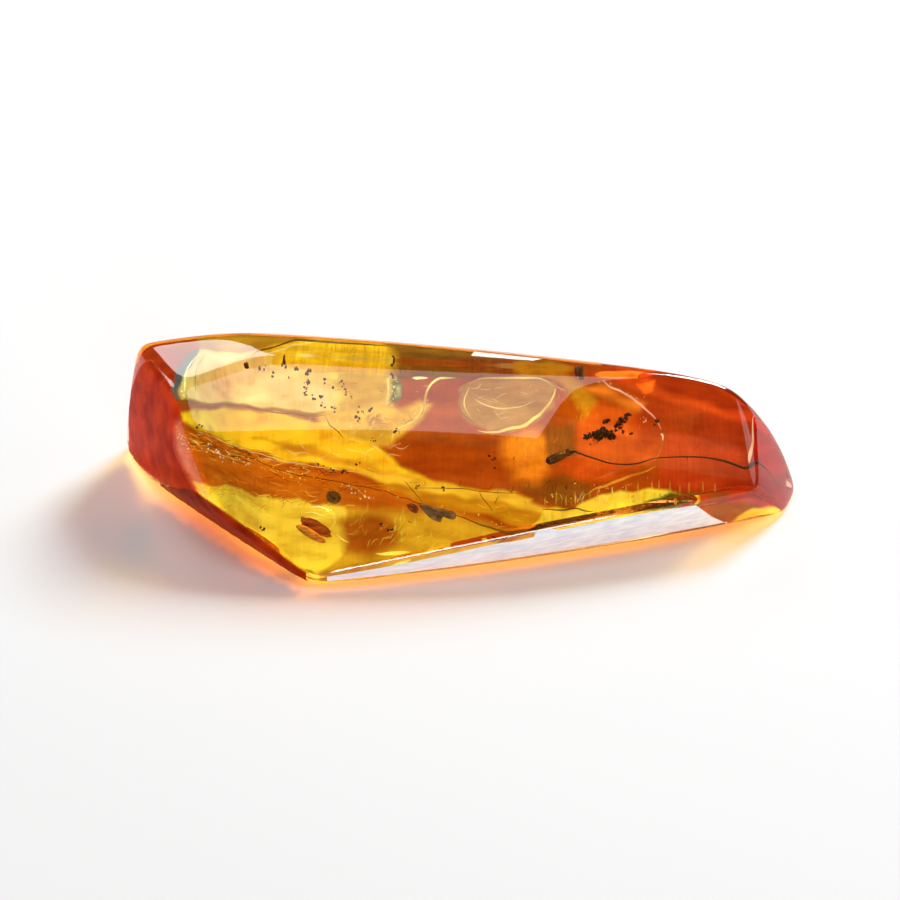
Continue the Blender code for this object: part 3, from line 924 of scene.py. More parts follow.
def flow_colours(spots):
    """Colour, cloudiness and streaks at frame spots: the zones, each laid over those before it.

    Their edges sway by a sum of sines, one or two frame units wide.
    """
    colour = np.tile(linear(FLOW_GROUND[0]), (len(spots), 1))
    cloud = np.full(len(spots), FLOW_GROUND[1])
    streaks = np.full(len(spots), BARE_STREAKS)
    x, y = spots.T
    sway = np.stack([
        1.3 * np.sin(y / 6.1 + x / 23) + 0.8 * np.sin(y / 3.1 - x / 9.7),
        1.2 * np.sin(x / 8.3 + y / 17) + 0.7 * np.sin(x / 3.9 - y / 11)], axis=1)
    for name, (paint, cloudiness, softness, outline) in FLOW_ZONES.items():
        share = coverage(spots + sway, outline, softness)
        colour += (linear(paint) - colour) * share[:, None]
        cloud += (cloudiness - cloud) * share
        streaks += (FLOW_STREAKS.get(name, ZONE_STREAKS) - streaks) * share
    return colour, 1 - (1 - cloud) * CLEARNESS, streaks


def paint_under(colour, depth):
    """What a cloud must be for this colour to show through so many mm of amber above it.

    The amber leaves exp(-loss * depth) of it, and the painted glow and the lamps light it.
    """
    loss = (1 - AMBER_ABSORPTION_COLOUR) * AMBER_ABSORPTION_DENSITY * MM
    shown = np.exp(-loss * np.asarray(depth)[:, None]) * (FLOW_PAINTED_GLOW + LAMPS_WITHIN)
    return np.clip(colour / shown, 0, 1)


def flow_spots(columns, rows, upper=FLOW_TOP, lower=FLOW_BOTTOM):
    """Frame spots of a grid of the flow layer, from its bottom edge up to its top edge."""
    across = np.linspace(upper[0][0], upper[-1][0], columns)
    top, bottom = np.interp(across, *zip(*upper)), np.interp(across, *zip(*lower))
    rise = np.linspace(0, 1, rows)[:, None]
    return np.stack([across + 0 * rise, bottom + (top - bottom) * rise], axis=-1).reshape(-1, 2)


def flow_depths(spots, entry, heading):
    """How far along each line of sight the layer lies: a share of the way, behind the seam.

    At the stone's left end the layer rises to its surface.
    """
    reach = reach_along(entry + heading * JUST_WITHIN, heading)
    start, outward, _, _ = seam_axes()
    seam = ((start - entry) @ outward) / (heading @ outward)
    deep = smooth(spots[:, 0] - np.interp(spots[:, 1], *zip(*LEFT_RIDGE)), 0, RIDGE_FADE)
    behind = np.where(deep > 0.5, seam + FLOW_BEHIND_SEAM, 0)
    share = RIDGE_DEPTH_SHARE + (FLOW_DEPTH_SHARE - RIDGE_DEPTH_SHARE) * deep
    wanted = np.maximum(reach * share, behind * deep)
    return np.minimum(wanted, reach - FLOW_COVER).clip(LEAST_DEPTH)


def evened(grid, passes):
    """A grid of points, each moved between itself and its neighbours' mean, so many times over.

    Past its rim the grid is taken to run straight on.
    """
    for _ in range(passes):
        for axis in (axis for axis in (0, 1) if grid.shape[axis] > 1):
            count = grid.shape[axis]
            first = 2 * grid.take([0], axis) - grid.take([1], axis)
            last = 2 * grid.take([count - 1], axis) - grid.take([count - 2], axis)
            padded = np.concatenate([first, grid, last], axis=axis)
            before, after = (padded.take(range(k, k + count), axis) for k in (0, 2))
            grid = (before + 2 * grid + after) / 4
    return grid


def finer(grid, rows, columns):
    """A grid of points read at more rows and columns, on straight lines between its points."""
    for axis, count in ((0, rows), (1, columns)):
        place = np.linspace(0, grid.shape[axis] - 1, count)
        low = np.minimum(place.astype(int), grid.shape[axis] - 2)
        share = (place - low).reshape((-1, 1, 1) if axis == 0 else (1, -1, 1))
        grid = grid.take(low, axis) * (1 - share) + grid.take(low + 1, axis) * share
    return grid


def flow_sheet(name, columns, rows, share, finish, **edges):
    """A thin sheet through the stone: two grids of points, one FLOW_THICKNESS behind the other.

    The front one is cloudy and lies at this share of the layer's depth; the other just closes it.
    """
    few_columns, few_rows = columns // COARSER, rows // COARSER
    spots = kept_on_stone(flow_spots(few_columns, few_rows, **edges))
    entry, heading, _ = enter_stone(spots)
    depths = flow_depths(spots, entry, heading) * share
    told = np.concatenate([entry + heading * depths[:, None], depths[:, None]], axis=1)
    coarse = evened(told.reshape(few_rows, few_columns, 4), 1)
    fine = evened(finer(coarse, rows, columns), 3)
    front, depth = fine[..., :3], fine[..., 3].ravel()
    behind = unit(heading.mean(axis=0)) * FLOW_THICKNESS
    layer = new_piece(name, slab_shape(front, front + behind), finish)
    colour, cloud, streaks = flow_colours(flow_spots(columns, rows, **edges))
    colour = paint_under(colour, depth)
    set_values(layer, "flow", np.concatenate([colour, colour]))
    set_values(layer, "cloud", np.concatenate([cloud, 0 * cloud]))
    set_values(layer, "streaks", np.concatenate([streaks, streaks]))


def make_flow_layer(finish):
    """The layer itself, and the part of it that shows through the polished end of the front cut."""
    flow_sheet("flow_layer", FLOW_COLUMNS, FLOW_ROWS, 1.0, finish)
    flow_sheet(
        "flow_foot", FOOT_COLUMNS, FOOT_ROWS, FOOT_NEARNESS, finish, upper=FOOT_TOP,
        lower=FOOT_BOTTOM)


LINES_LIFT, SPARKLES_LIFT, FLECKS_LIFT = 0.35, 0.5, 0.9  # how far before the layer they lie
LEAST_LIFTED_DEPTH = 0.08
EDGE_ROOM = 2  # they keep this far within the layer's edges


def before_flow(spots, lift):
    """Points this many mm nearer the eye than the flow layer at frame spots, and their depths."""
    x, y = np.asarray(spots, float).T
    top, bottom = np.interp(x, *zip(*FLOW_TOP)), np.interp(x, *zip(*FLOW_BOTTOM))
    spots = np.stack([x, np.clip(y, top + EDGE_ROOM, bottom - EDGE_ROOM)], axis=1)
    entry, heading, _ = enter_stone(spots)
    depths = np.maximum(flow_depths(spots, entry, heading) - lift, LEAST_LIFTED_DEPTH)
    return entry + heading * depths[:, None], depths


# Where the resin's layers meet they show as fine lines; the pale ones are painted highlights:
# name: (colour, how cloudy, half width in mm, frame spots)
FLOW_LINES = {
    # A real rim whose pinkish colour is a painted reflection of the overhead light
    "arc_rim_reflection": ("f0a890", 0.6, 0.08, (
        (602, 380), (609, 385), (616, 389), (630, 396), (640, 405), (650, 413), (657, 421),
        (662, 428))),
    "arc_2": ("ffe0c0", 0.675, 0.064, (
        (662, 431), (662.5, 436), (662, 440))),
    "arc_3": ("d86a2c", 0.6, 0.064, (
        (663, 443), (661, 448), (659, 452), (657, 456), (650, 460), (641, 463), (628, 467),
        (616, 470), (606, 475), (592, 481))),
    "arc_4": ("f0982c", 0.525, 0.096, (
        (585, 496), (597, 488), (611, 483), (632, 476), (648, 471), (656, 466))),
    "end_ridge": ("ffcfa8", 0.6375, 0.072, (
        (754, 412), (752.7, 426), (753, 440), (751, 451), (750, 463))),
    "disc_rim": ("ffe070", 0.675, 0.112, (
        (478, 431), (490, 433.5), (503, 431), (524, 424.6), (543, 413), (554, 396), (556, 388))),
    "disc_top": ("e8b878", 0.525, 0.048, (
        (468, 384), (484, 376), (505, 372.5), (528, 373), (545, 379), (554, 388))),
    "disc_in_1": ("c8904c", 0.6, 0.048, (
        (472, 393), (482, 399), (492, 402), (506, 403.5), (520, 403), (531, 400), (540, 397))),
    "disc_in_2": ("f4cc84", 0.6, 0.048, (
        (474, 398), (486, 405), (500, 408), (518, 407.5), (536, 402))),
    "disc_left_1": ("a8703c", 0.675, 0.056, (
        (466, 384), (461, 392), (459, 402), (461, 411), (466, 418), (474, 425))),
    "disc_left_2": ("f0c078", 0.6, 0.048, (
        (470, 388), (465.5, 395), (464, 403), (466, 411), (471, 418))),
    # Painted highlight: the white line down the bubble's side
    "bubble_side_highlight": ("ffffff", 0.6375, 0.056, (
        (387, 374), (388.5, 384), (388, 396), (386, 408))),
    "bubble_glint_1": ("ffffff", 0.7125, 0.072, (
        (411, 374.5), (416, 373.3), (422, 373), (427, 374.5))),
    "bubble_glint_2": ("ffffff", 0.675, 0.048, (
        (412, 377.5), (416, 378.5), (420, 379))),
    "bubble_lip": ("6c5a48", 0.6, 0.048, (
        (390, 382), (391, 377), (397, 374.5), (408, 374))),
    "cylinder_rim": ("fff2a8", 0.6, 0.072, (
        (200, 352.5), (192, 361), (186.5, 372), (184, 385), (184, 398))),
    "cylinder_ring": ("9c8450", 0.45, 0.064, (
        (205, 355), (199, 364), (196, 376), (195, 392))),
    "strand_1": ("ffe880", 0.6375, 0.032, (
        (298, 520), (305, 517.5), (315, 517), (322, 518))),
    "strand_2": ("ffe880", 0.6375, 0.032, (
        (300, 515.5), (308, 513), (318, 513), (328, 515))),
    "strand_3": ("fff0a0", 0.6375, 0.04, (
        (308, 507), (318, 506), (326, 509), (331, 514))),
    "strand_4": ("ffe070", 0.6, 0.032, (
        (331, 511), (335, 517), (334, 524), (330, 529))),
    "strand_5": ("f8d050", 0.6, 0.04, (
        (336, 534), (342, 538), (348, 543))),
    "curl_1": ("f4c470", 0.6375, 0.088, (
        (455, 370), (441, 376), (430, 385), (427, 393), (425, 400), (423, 408), (420, 415),
        (412, 421), (405, 425), (399, 428), (395, 432), (391, 438), (390, 445))),
    "curl_2": ("8a5c10", 0.6, 0.04, (
        (450, 376), (439, 380), (430, 386), (427, 391), (425, 396), (424, 403), (423, 410),
        (417, 416), (410, 420), (405, 424), (400, 428))),
    "crown_line": ("6a3a08", 0.6375, 0.144, (
        (252, 353.6), (262, 350), (273, 347), (292, 341), (311, 337), (330, 335), (355, 336),
        (378, 340), (392, 342))),
    "crown_glint": ("fff0a0", 0.6, 0.064, (
        (262, 354), (276, 350.5), (294, 345), (312, 341.5), (330, 339.5), (352, 340))),
    "curl_3": ("7c4e0c", 0.6375, 0.048, (
        (326, 418), (330, 425), (336, 430), (341, 434), (343, 437))),
    "band_top": ("a0600c", 0.525, 0.064, (
        (183, 408), (206, 404), (232, 405), (256, 408), (283, 413), (311, 416.5), (332, 413))),
    "band_low": ("fff2b0", 0.3825, 0.0336, (
        (200, 432), (227, 443), (254, 451), (283, 461), (311, 465), (340, 470), (372, 476))),
    "fracture_1": ("5a2c06", 0.33, 0.0528, (
        (174, 428), (195, 437), (227, 450), (255, 460), (290, 473), (340, 482), (380, 491),
        (420, 503), (470, 521), (524, 539))),
    "fracture_2": ("ffd050", 0.3525, 0.0288, (
        (346, 485), (354, 487), (361, 492), (368, 499))),
    "fracture_3": ("ffdf70", 0.375, 0.0288, (
        (205, 449), (221, 454), (236, 459), (246, 462))),
    "hump_line": ("5c3608", 0.6, 0.064, (
        (543, 509), (560, 510.5), (578, 509.5), (594, 514))),
    "stream_edge": ("7a4808", 0.5625, 0.064, (
        (455, 515), (474, 522), (495, 529.5), (513, 535), (530, 539))),
    "bright_strip": ("ffe060", 0.6375, 0.096, (
        (375, 555), (386, 554), (398, 553), (408, 552))),
    "faint_red": ("9c2c0c", 0.525, 0.032, (
        (558, 438), (560, 443), (561.5, 449))),
}
# Bright upright glints along the yellow window: frame x, top and bottom
WINDOW_GLINTS = (
    (545, 497, 506), (556, 492, 507), (566, 495, 506), (575, 491, 505), (583, 489, 503),
    (590, 490, 500), (652, 480, 492), (659, 479, 491), (670, 480, 493), (680, 485, 493),
    (689, 482, 494), (703, 481, 493), (715, 483, 494), (612, 486, 497), (626, 484, 494),
    (638, 482, 493),
)
# Fine strands in the resin: frame x and y, how far they stray from it in frame units, how many,
# their length in frame units, their angle in degrees from level, and their colour
STRANDS = (
    (403, 530, (11, 8), 46, 9, 60, "f2c83c"), (360, 520, (9, 7), 18, 9, 70, "e8a828"),
    (335, 508, (10, 5), 16, 12, 20, "f8d860"), (262, 500, (22, 5), 16, 14, -18, "f6d04c"),
    (300, 492, (40, 5), 26, 12, -12, "e89420"), (250, 540, (9, 7), 8, 8, -30, "c8a020"),
    (350, 352, (22, 7), 26, 8, 80, "d89c14"), (440, 352, (28, 3), 16, 9, 10, "8c5c10"),
    (350, 426, (16, 7), 22, 7, 30, "fff2a0"), (378, 416, (9, 7), 18, 6, 50, "fff0a0"),
    (330, 452, (40, 6), 18, 18, -16, "fff0a0"), (470, 455, (26, 12), 30, 9, 85, "c8641c"),
    (525, 455, (10, 10), 22, 8, 70, "ffa040"), (560, 445, (10, 8), 14, 8, 85, "d07018"),
    (610, 450, (20, 12), 20, 8, 80, "f08028"), (600, 498, (26, 4), 20, 8, 85, "fff080"),
    (555, 495, (12, 5), 14, 7, 85, "c88c20"), (700, 430, (24, 16), 16, 14, 75, "d85020"),
    (562, 392, (14, 5), 22, 6, 50, "e8a020"), (588, 408, (6, 8), 14, 6, 80, "ffa030"),
    (500, 400, (26, 12), 16, 10, 8, "e8c890"), (490, 512, (22, 6), 18, 10, -20, "f0b828"),
    (440, 540, (24, 8), 20, 9, 40, "f0c040"), (215, 480, (16, 5), 14, 9, -20, "f09028"),
    (205, 442, (14, 5), 30, 11, -18, "5c2a04"), (250, 458, (20, 4), 30, 12, -17, "5c2a04"),
    (300, 472, (26, 4), 26, 12, -13, "6c3406"), (195, 440, (10, 5), 22, 8, -16, "ffd468"),
    (240, 455, (18, 4), 22, 9, -17, "ffc850"), (290, 468, (22, 4), 18, 9, -15, "ffc850"),
    (340, 484, (24, 5), 18, 12, -14, "7c4008"), (225, 490, (22, 4), 24, 8, 30, "c87c10"),
    (300, 502, (24, 3), 22, 8, 24, "b86c0c"), (186, 455, (6, 12), 18, 9, -30, "d85010"),
    (355, 390, (26, 3), 14, 8, 6, "b08850"), (385, 420, (12, 8), 14, 7, -30, "8c5c14"),
    (530, 487, (30, 3), 26, 7, 82, "5a3408"), (680, 500, (16, 5), 40, 4, 40, "4c4a10"),
)


def cloudy_piece(name, shapes, paints, clouds, finish):
    """One piece from several cloudy shapes, each of one paint and cloudiness, with no threads."""
    piece = new_piece(name, joined(shapes), finish)
    counts = [len(points) for points, _, _ in shapes]
    set_values(piece, "flow", np.repeat(np.array(paints), counts, axis=0))
    set_values(piece, "cloud", np.repeat(np.array(clouds, float), counts))
    set_values(piece, "streaks", np.zeros(sum(counts)))


LINE_WAVER, LINE_TIP = 1.1, 0.15  # sway in frame units, and width at the ends
LINE_STEP, FEWEST_POINTS = 3, 9
# Right of the pale cylinder a line on the dome keeps this far down, below the ridge over the dome
RIDGE_COLUMN, RIDGE_ROW, BELOW_RIDGE = 382, 352, 378
GLINT_COLOUR, GLINT_CLOUD, GLINT_HALF_WIDTH, GLINT_TIP = "ffd24a", 0.25, 0.035, 0.1
GLINT_POINTS = 7
STRAND_CLOUD, STRAND_HALF_WIDTH, STRAND_TIP, STRAND_POINTS = 0.38, 0.024, 0.2, 9
STRAND_TURN, STRAND_CURL = 22, 0.04  # how much their angle in degrees and their bend differ


def make_flow_lines(finish):
    """Tubes that swell along their middle, each along a smooth curve just before the layer.

    A strand is bent to a parabola: across it, its step along squared, times its curl.
    """
    chance = np.random.default_rng(17)
    lines = []
    for colour, cloud, half_width, spots in FLOW_LINES.values():
        count = max(FEWEST_POINTS, int(np.ptp(np.asarray(spots), axis=0).sum() / LINE_STEP))
        waver = evened(chance.normal(size=(1, count, 2)), 3)[0] * LINE_WAVER
        line = smooth_path(spots, count) + waver
        at_ridge = (line[:, 0] > RIDGE_COLUMN) & (line[:, 1] > RIDGE_ROW)
        line[:, 1] = np.maximum(line[:, 1], np.where(at_ridge, BELOW_RIDGE, 0))
        lines.append((line, colour, cloud, half_width, LINE_TIP))
    for x, top, bottom in WINDOW_GLINTS:
        spots = np.stack(
            [np.full(GLINT_POINTS, x), np.linspace(bottom, top, GLINT_POINTS)], axis=1)
        lines.append((spots, GLINT_COLOUR, GLINT_CLOUD, GLINT_HALF_WIDTH, GLINT_TIP))
    for x, y, stray, count, length, angle, colour in STRANDS:
        for middle in np.array([x, y]) + chance.normal(size=(count, 2)) * stray:
            bend = radians(angle + chance.normal(0, STRAND_TURN))
            step = np.linspace(-0.5, 0.5, STRAND_POINTS)[:, None] * length
            step = step * chance.uniform(0.5, 1.3)
            curve = step**2 * chance.normal(0, STRAND_CURL)
            spots = middle + step * (cos(bend), -sin(bend)) + curve * (sin(bend), cos(bend))
            lines.append((spots, colour, STRAND_CLOUD, STRAND_HALF_WIDTH, STRAND_TIP))
    ends = np.cumsum([len(spots) for spots, *_ in lines])[:-1]
    points, depths = before_flow(np.concatenate([spots for spots, *_ in lines]), LINES_LIFT)
    shapes, paints, clouds = [], [], []
    for path, depth, (_, colour, cloud, half_width, tip) in zip(
            np.split(points, ends), np.split(depths, ends), lines):
        path = evened(path[None], 2)[0]
        shapes.append(tube(path, half_width * swelling(len(path), tip), 6, 0.5))
        paints.append(paint_under(linear(colour)[None], [depth.mean()])[0])
        clouds.append(cloud)
    cloudy_piece("flow_lines", shapes, paints, clouds, finish)


# Sparkles in the crack and at the flows' edges: (frame spots of their line, how far they stray
# from it in frame units, how many, largest radius in mm, colour)
SPARKLES = (
    (((175, 430), (191, 450)), 3, 16, 0.09, "ffe9a0"),
    (((205, 449), (226, 456), (246, 462)), 2.4, 26, 0.1, "fff0b4"),
    (((250, 462), (290, 476), (345, 486)), 3.6, 30, 0.08, "f2b83a"),
    (((348, 486), (362, 493), (372, 500)), 2.4, 22, 0.1, "fff4c0"),
    (((380, 490), (440, 505), (500, 525)), 3, 26, 0.08, "ffcf50"),
    (((183, 380), (181, 400)), 1.8, 10, 0.07, "fff0c8"),
    (((395, 374), (394, 408)), 1.8, 22, 0.09, "fffbe8"),
    (((430, 392), (405, 424), (392, 440)), 4.2, 26, 0.07, "ffe890"),
    (((545, 500), (600, 488), (650, 484)), 3.6, 26, 0.07, "ffe060"),
    (((640, 418.5), (647, 420)), 1.2, 6, 0.09, "ffc890"),
    (((190, 486), (260, 500), (340, 510)), 3, 26, 0.07, "ffe890"),
    (((600, 380), (640, 398)), 2.4, 14, 0.07, "ffb070"),
    (((673, 512), (676, 513)), 0.6, 2, 0.1, "ff9a30"),
)
STREWN_PLACES = 60  # along each line
SPARKLE_CLOUD = 0.85


def strewn(line, stray, count, chance):
    """Frame spots strewn along a line: evenly at random along it, and by a bell curve off it."""
    along = smooth_path(line, STREWN_PLACES)[chance.integers(0, STREWN_PLACES, count)]
    return along + chance.normal(size=(count, 2)) * stray


def make_sparkles(finish):
    """Thin flakes of broken resin, turned at random, painted bright as glints: painted highlights.
    """
    chance = np.random.default_rng(5)
    flake = grain(3, 7, seed=3, roughness=0.25)
    shapes, paints, clouds = [], [], []
    for line, stray, count, radius, colour in SPARKLES:
        points, depths = before_flow(strewn(line, stray, count, chance), SPARKLES_LIFT)
        sizes = radius * chance.uniform(0.35, 1.0, count)
        frames = random_frames(count, sizes, chance, flatness=0.25)
        paint = paint_under(linear(colour)[None], [depths.mean()])[0]
        for k in range(count):
            shapes.append(copies(flake, points[k : k + 1], frames[k : k + 1]))
            paints.append(paint * chance.uniform(0.55, 1.0))
            clouds.append(SPARKLE_CLOUD)
    cloudy_piece("crack_sparkles", shapes, paints, clouds, finish)


# ---------------------------------------------------------------------------------------------
# What the stone holds
# ---------------------------------------------------------------------------------------------

# The places of these pieces are frame units; each is a spot where it shows
INSECT_BODY = ((547, 461.5), (551, 460), (557, 457.4), (563, 454.8), (569, 452.2), (575, 450.8))
ANTENNA = (
    (573, 450.8), (580, 453.5), (588, 456.4), (600, 460.2), (609, 463), (623, 464.4), (634, 464),
    (641, 462.6), (650, 459.5), (658, 457.7), (669, 457.3), (687, 456.8), (703, 457.3), (715, 459),
    (727.6, 462), (738, 465.8), (745.3, 468), (750, 467), (754, 463), (759.4, 463.5),
    (766.5, 469.5), (773.5, 478.3), (778.5, 488.5),
)
SPUR, SPUR_RADII = ((687, 456.8), (687.2, 459), (687.4, 461.5)), (0.035, 0.03, 0.015)
# share of the length, radius in mm
BODY_RADII = (
    (0, 0.2), (0.05, 0.28), (0.22, 0.32), (0.45, 0.3), (0.6, 0.28), (0.68, 0.22), (0.74, 0.26),
    (0.86, 0.22), (0.93, 0.14), (1, 0.09))
ANTENNA_RADII = (
    (0, 0.085), (0.03, 0.065), (0.25, 0.06), (0.32, 0.05), (0.38, 0.028), (0.43, 0.05),
    (0.6, 0.062), (0.72, 0.095), (0.85, 0.1), (0.9, 0.055), (1, 0.03))
BODY_POINTS, BODY_CORNERS, ANTENNA_POINTS = 70, 20, 420
SEGMENTS, SEGMENT_SWELL = 7, 0.07
ANTENNA_SEGMENTS, ANTENNA_SWELL = 60, 0.14


def make_insect():
    """The body is a tube with segments; its long antenna is another, ringed from end to end.

    The body's radius is times 1 plus a swell for each segment, a half sine to a power; the
    antenna's is times 1 plus a sine. "along" is 0 at the tail and 1 at the head and beyond.
    """
    share = np.linspace(0, 1, BODY_POINTS)
    body = evened(seen_at_plane(smooth_path(INSECT_BODY, BODY_POINTS), 0.0)[None], 2)[0]
    rings = 1 + SEGMENT_SWELL * np.abs(np.sin(pi * SEGMENTS * share)) ** 0.6
    trunk = tube(body, np.interp(share, *zip(*BODY_RADII)) * rings, BODY_CORNERS, 0.85)
    along = np.linspace(0, 1, ANTENNA_POINTS)
    feeler = evened(seen_at_plane(smooth_path(ANTENNA, ANTENNA_POINTS), 0.0)[None], 12)[0]
    rings = 1 + ANTENNA_SWELL * np.sin(2 * pi * ANTENNA_SEGMENTS * along)
    thread = tube(feeler, np.interp(along, *zip(*ANTENNA_RADII)) * rings, 8)
    spur = tube(seen_at_plane(SPUR, 0.05), SPUR_RADII, 5)
    shape = joined([trunk, thread, spur])
    insect = new_piece("insect_body", shape, cuticle_material())
    trunk_marks = np.concatenate([[0], np.repeat(share, BODY_CORNERS), [1]])
    set_values(insect, "along", np.concatenate(
        [trunk_marks, np.ones(len(thread[0]) + len(spur[0]))]))
    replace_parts(insect, "insect")


# Clumps of the bristly scrap: frame x, y and radius in frame units
SCRAP_CLUMPS = (
    (586, 436.5, 2.6), (590, 435.5, 3.4), (595, 434.5, 4.0), (600, 432.5, 4.6), (605, 432.5, 4.6),
    (609.5, 434.5, 3.8), (613.5, 437, 2.4), (599, 438, 3.2), (604, 428, 2.6), (607, 421, 2.6),
    (617.5, 424, 3.0), (621.5, 420.5, 3.4), (626, 417, 3.2), (629.5, 414.5, 1.8), (620, 428, 1.8),
    (623, 431.5, 1.4), (616, 430.5, 1.6),
)
BRISTLES_PER_CLUMP, GRAINS_PER_CLUMP = 11, 10
BRISTLE_CORNERS, BRISTLE_RADIUS = 5, 0.022
BRISTLE_TAPER = ((0, 1), (0.5, 0.7), (0.9, 0.3))  # share of its length, share of its radius
HANGING, HANGING_ANGLE = 0.65, 3.9  # the share that hangs, and its usual angle in radians


def make_scrap():
    """Clumps of rough grains, with bristles that stand out of them, most of them hanging left.

    A bristle is a cone of a few rings, drawn out along its own direction in the seam.
    """
    chance = np.random.default_rng(21)
    _, outward, level, slope = seam_axes()
    turn = np.arange(BRISTLE_CORNERS) * 2 * pi / BRISTLE_CORNERS
    ring = np.stack([0 * turn, np.cos(turn), np.sin(turn)], axis=1)
    rings = np.stack([ring * (1, radius, radius) + (x, 0, 0) for x, radius in BRISTLE_TAPER])
    bristle = rings_shape(np.array([-0.05, 0, 0]), rings, np.array([1.0, 0, 0]))
    chunk = grain(5, 8, seed=8, roughness=0.35)
    shapes = []
    for x, y, radius in SCRAP_CLUMPS:
        size = radius / FRAME_PER_MM
        spots = np.array([x, y]) + chance.normal(size=(GRAINS_PER_CLUMP, 2)) * radius * 0.45
        centres = seen_at_plane(spots, 0.0) + np.outer(
            chance.uniform(-0.5, 0.5, GRAINS_PER_CLUMP) * size, outward)
        sizes = size * chance.uniform(0.28, 0.62, GRAINS_PER_CLUMP)
        shapes.append(copies(chunk, centres, random_frames(GRAINS_PER_CLUMP, sizes, chance)))
        count = BRISTLES_PER_CLUMP
        angle = np.where(
            chance.uniform(size=count) < HANGING, chance.normal(HANGING_ANGLE, 0.5, count),
            chance.uniform(0, 2 * pi, count))
        way = unit(
            np.outer(np.cos(angle), level) + np.outer(np.sin(angle), slope)
            + np.outer(chance.normal(0, 0.3, count), outward))
        side = unit(np.cross(way, outward))
        length = size * chance.uniform(1.2, 2.3, count)[:, None]
        thick = BRISTLE_RADIUS * chance.uniform(0.7, 1.3, count)[:, None]
        frames = np.stack([way * length, side * thick, np.cross(way, side) * thick], axis=1)
        roots = np.repeat(seen_at_plane([(x, y)], 0.0), count, axis=0)
        shapes.append(copies(bristle, roots, frames))
    finish = debris_material("bristly_plant_scrap", 0.12, "120803", "3a1c0a")
    scrap = new_piece("scrap", joined(shapes), finish)
    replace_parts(scrap, "bristly_scrap")


PILLOW_RINGS, PILLOW_COLUMNS = 8, 44


def pillow(outline, thickness, seed, roughness=0.25):
    """A closed frame outline filled to a cushion in the seam plane.

    At share r of the way from its middle to its rim it is thickness * sqrt(1 - r^2) deep on each
    side, times 1 plus waves of the roughness along both ways.
    """
    chance = np.random.default_rng(seed)
    closed = np.asarray(tuple(outline) + (outline[0],), float)
    rim = seen_at_plane(smooth_path(closed, PILLOW_COLUMNS + 1)[:-1], 0.0)
    middle, outward = rim.mean(axis=0), seam_axes()[1]
    share = np.sin(np.linspace(0, pi / 2, PILLOW_RINGS + 1)[1:])
    share = np.concatenate([share, share[-2::-1]])
    side = np.sign(np.linspace(1, -1, len(share))) * np.sqrt(1 - share**2)
    turn = np.linspace(0, 2 * pi, PILLOW_COLUMNS, endpoint=False)
    waves = sum(
        np.sin(k * turn + chance.uniform(0, 6)) * np.cos(5 * share[:, None] + chance.uniform(0, 6))
        for k in (2, 3, 5, 8))
    height = thickness * side[:, None] * (1 + roughness * waves)
    spread = share[:, None] * (1 + 0.06 * roughness * waves)
    ring = middle + (rim - middle)[None] * spread[..., None] + height[..., None] * outward
    cap = thickness * outward
    return rings_shape(middle + cap, ring, middle - cap)


FLAKE_OUTLINE = (
    (419, 504.5), (424, 504), (430, 505.5), (439.5, 508), (447, 509.5), (453, 511), (456, 515),
    (454, 519), (449, 519), (445, 516.5), (442, 518), (440.5, 522.5), (435, 521), (430, 518),
    (425.6, 513.5), (421, 509),
)
SECOND_FLAKE = (
    (407, 504), (411, 503), (416, 505), (418.5, 509), (417, 513), (412, 512), (408, 508))
LEAF_SPOT = (
    (326, 496), (328, 491.5), (333, 490.5), (338, 492), (341, 496), (340.5, 501), (336, 503.5),
    (330, 502.5), (327, 500))


def make_flake():
    """A flake of grey wood in two lobes, its grain 0.25 mm wide."""
    bark = debris_material(
        "weathered_wood_flake", 0.25, "2b2a36", "77788c", stretch=(3, 1, 1), turn=20)
    flake = new_piece("flake", pillow(FLAKE_OUTLINE, 0.2, 2, roughness=0.3), bark)
    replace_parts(flake, "wood_flake")


CAPSULE_LINE = ((296.5, 526), (301, 528), (308, 532), (315, 536.5), (321, 540), (325, 542))
CAPSULE_RADII = ((0, 0.1), (0.1, 0.22), (0.3, 0.32), (0.6, 0.33), (0.85, 0.24), (1, 0.1))
CAPSULE_POINTS, CAPSULE_CORNERS = 46, 28


def make_capsule():
    """A spindle, with grain along it."""
    share = np.linspace(0, 1, CAPSULE_POINTS)
    path = seen_at_plane(smooth_path(CAPSULE_LINE, CAPSULE_POINTS), 0.0)
    shape = tube(path, np.interp(share, *zip(*CAPSULE_RADII)), CAPSULE_CORNERS, 0.9)
    finish = debris_material(
        "dry_seed_capsule", 0.18, "7a5212", "d8a83c", stretch=(4, 1, 1), turn=30, roughness=0.45)
    capsule = new_piece("seed_capsule", shape, finish)
    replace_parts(capsule, "capsule")


HUSK_MIDDLE, HUSK_HALF_LENGTH, HUSK_HALF_WIDTH = (316, 527), 17.5, 6.5
HUSK_TURN = radians(29)
HUSK_DEPTH, HUSK_WALL, HUSK_INSIDE = 0.42, 0.05, 0.94  # the inside is this share as wide
HUSK_BEHIND = 0.25  # its rim lies this far behind the seam
HUSK_RINGS, HUSK_COLUMNS = 12, 40


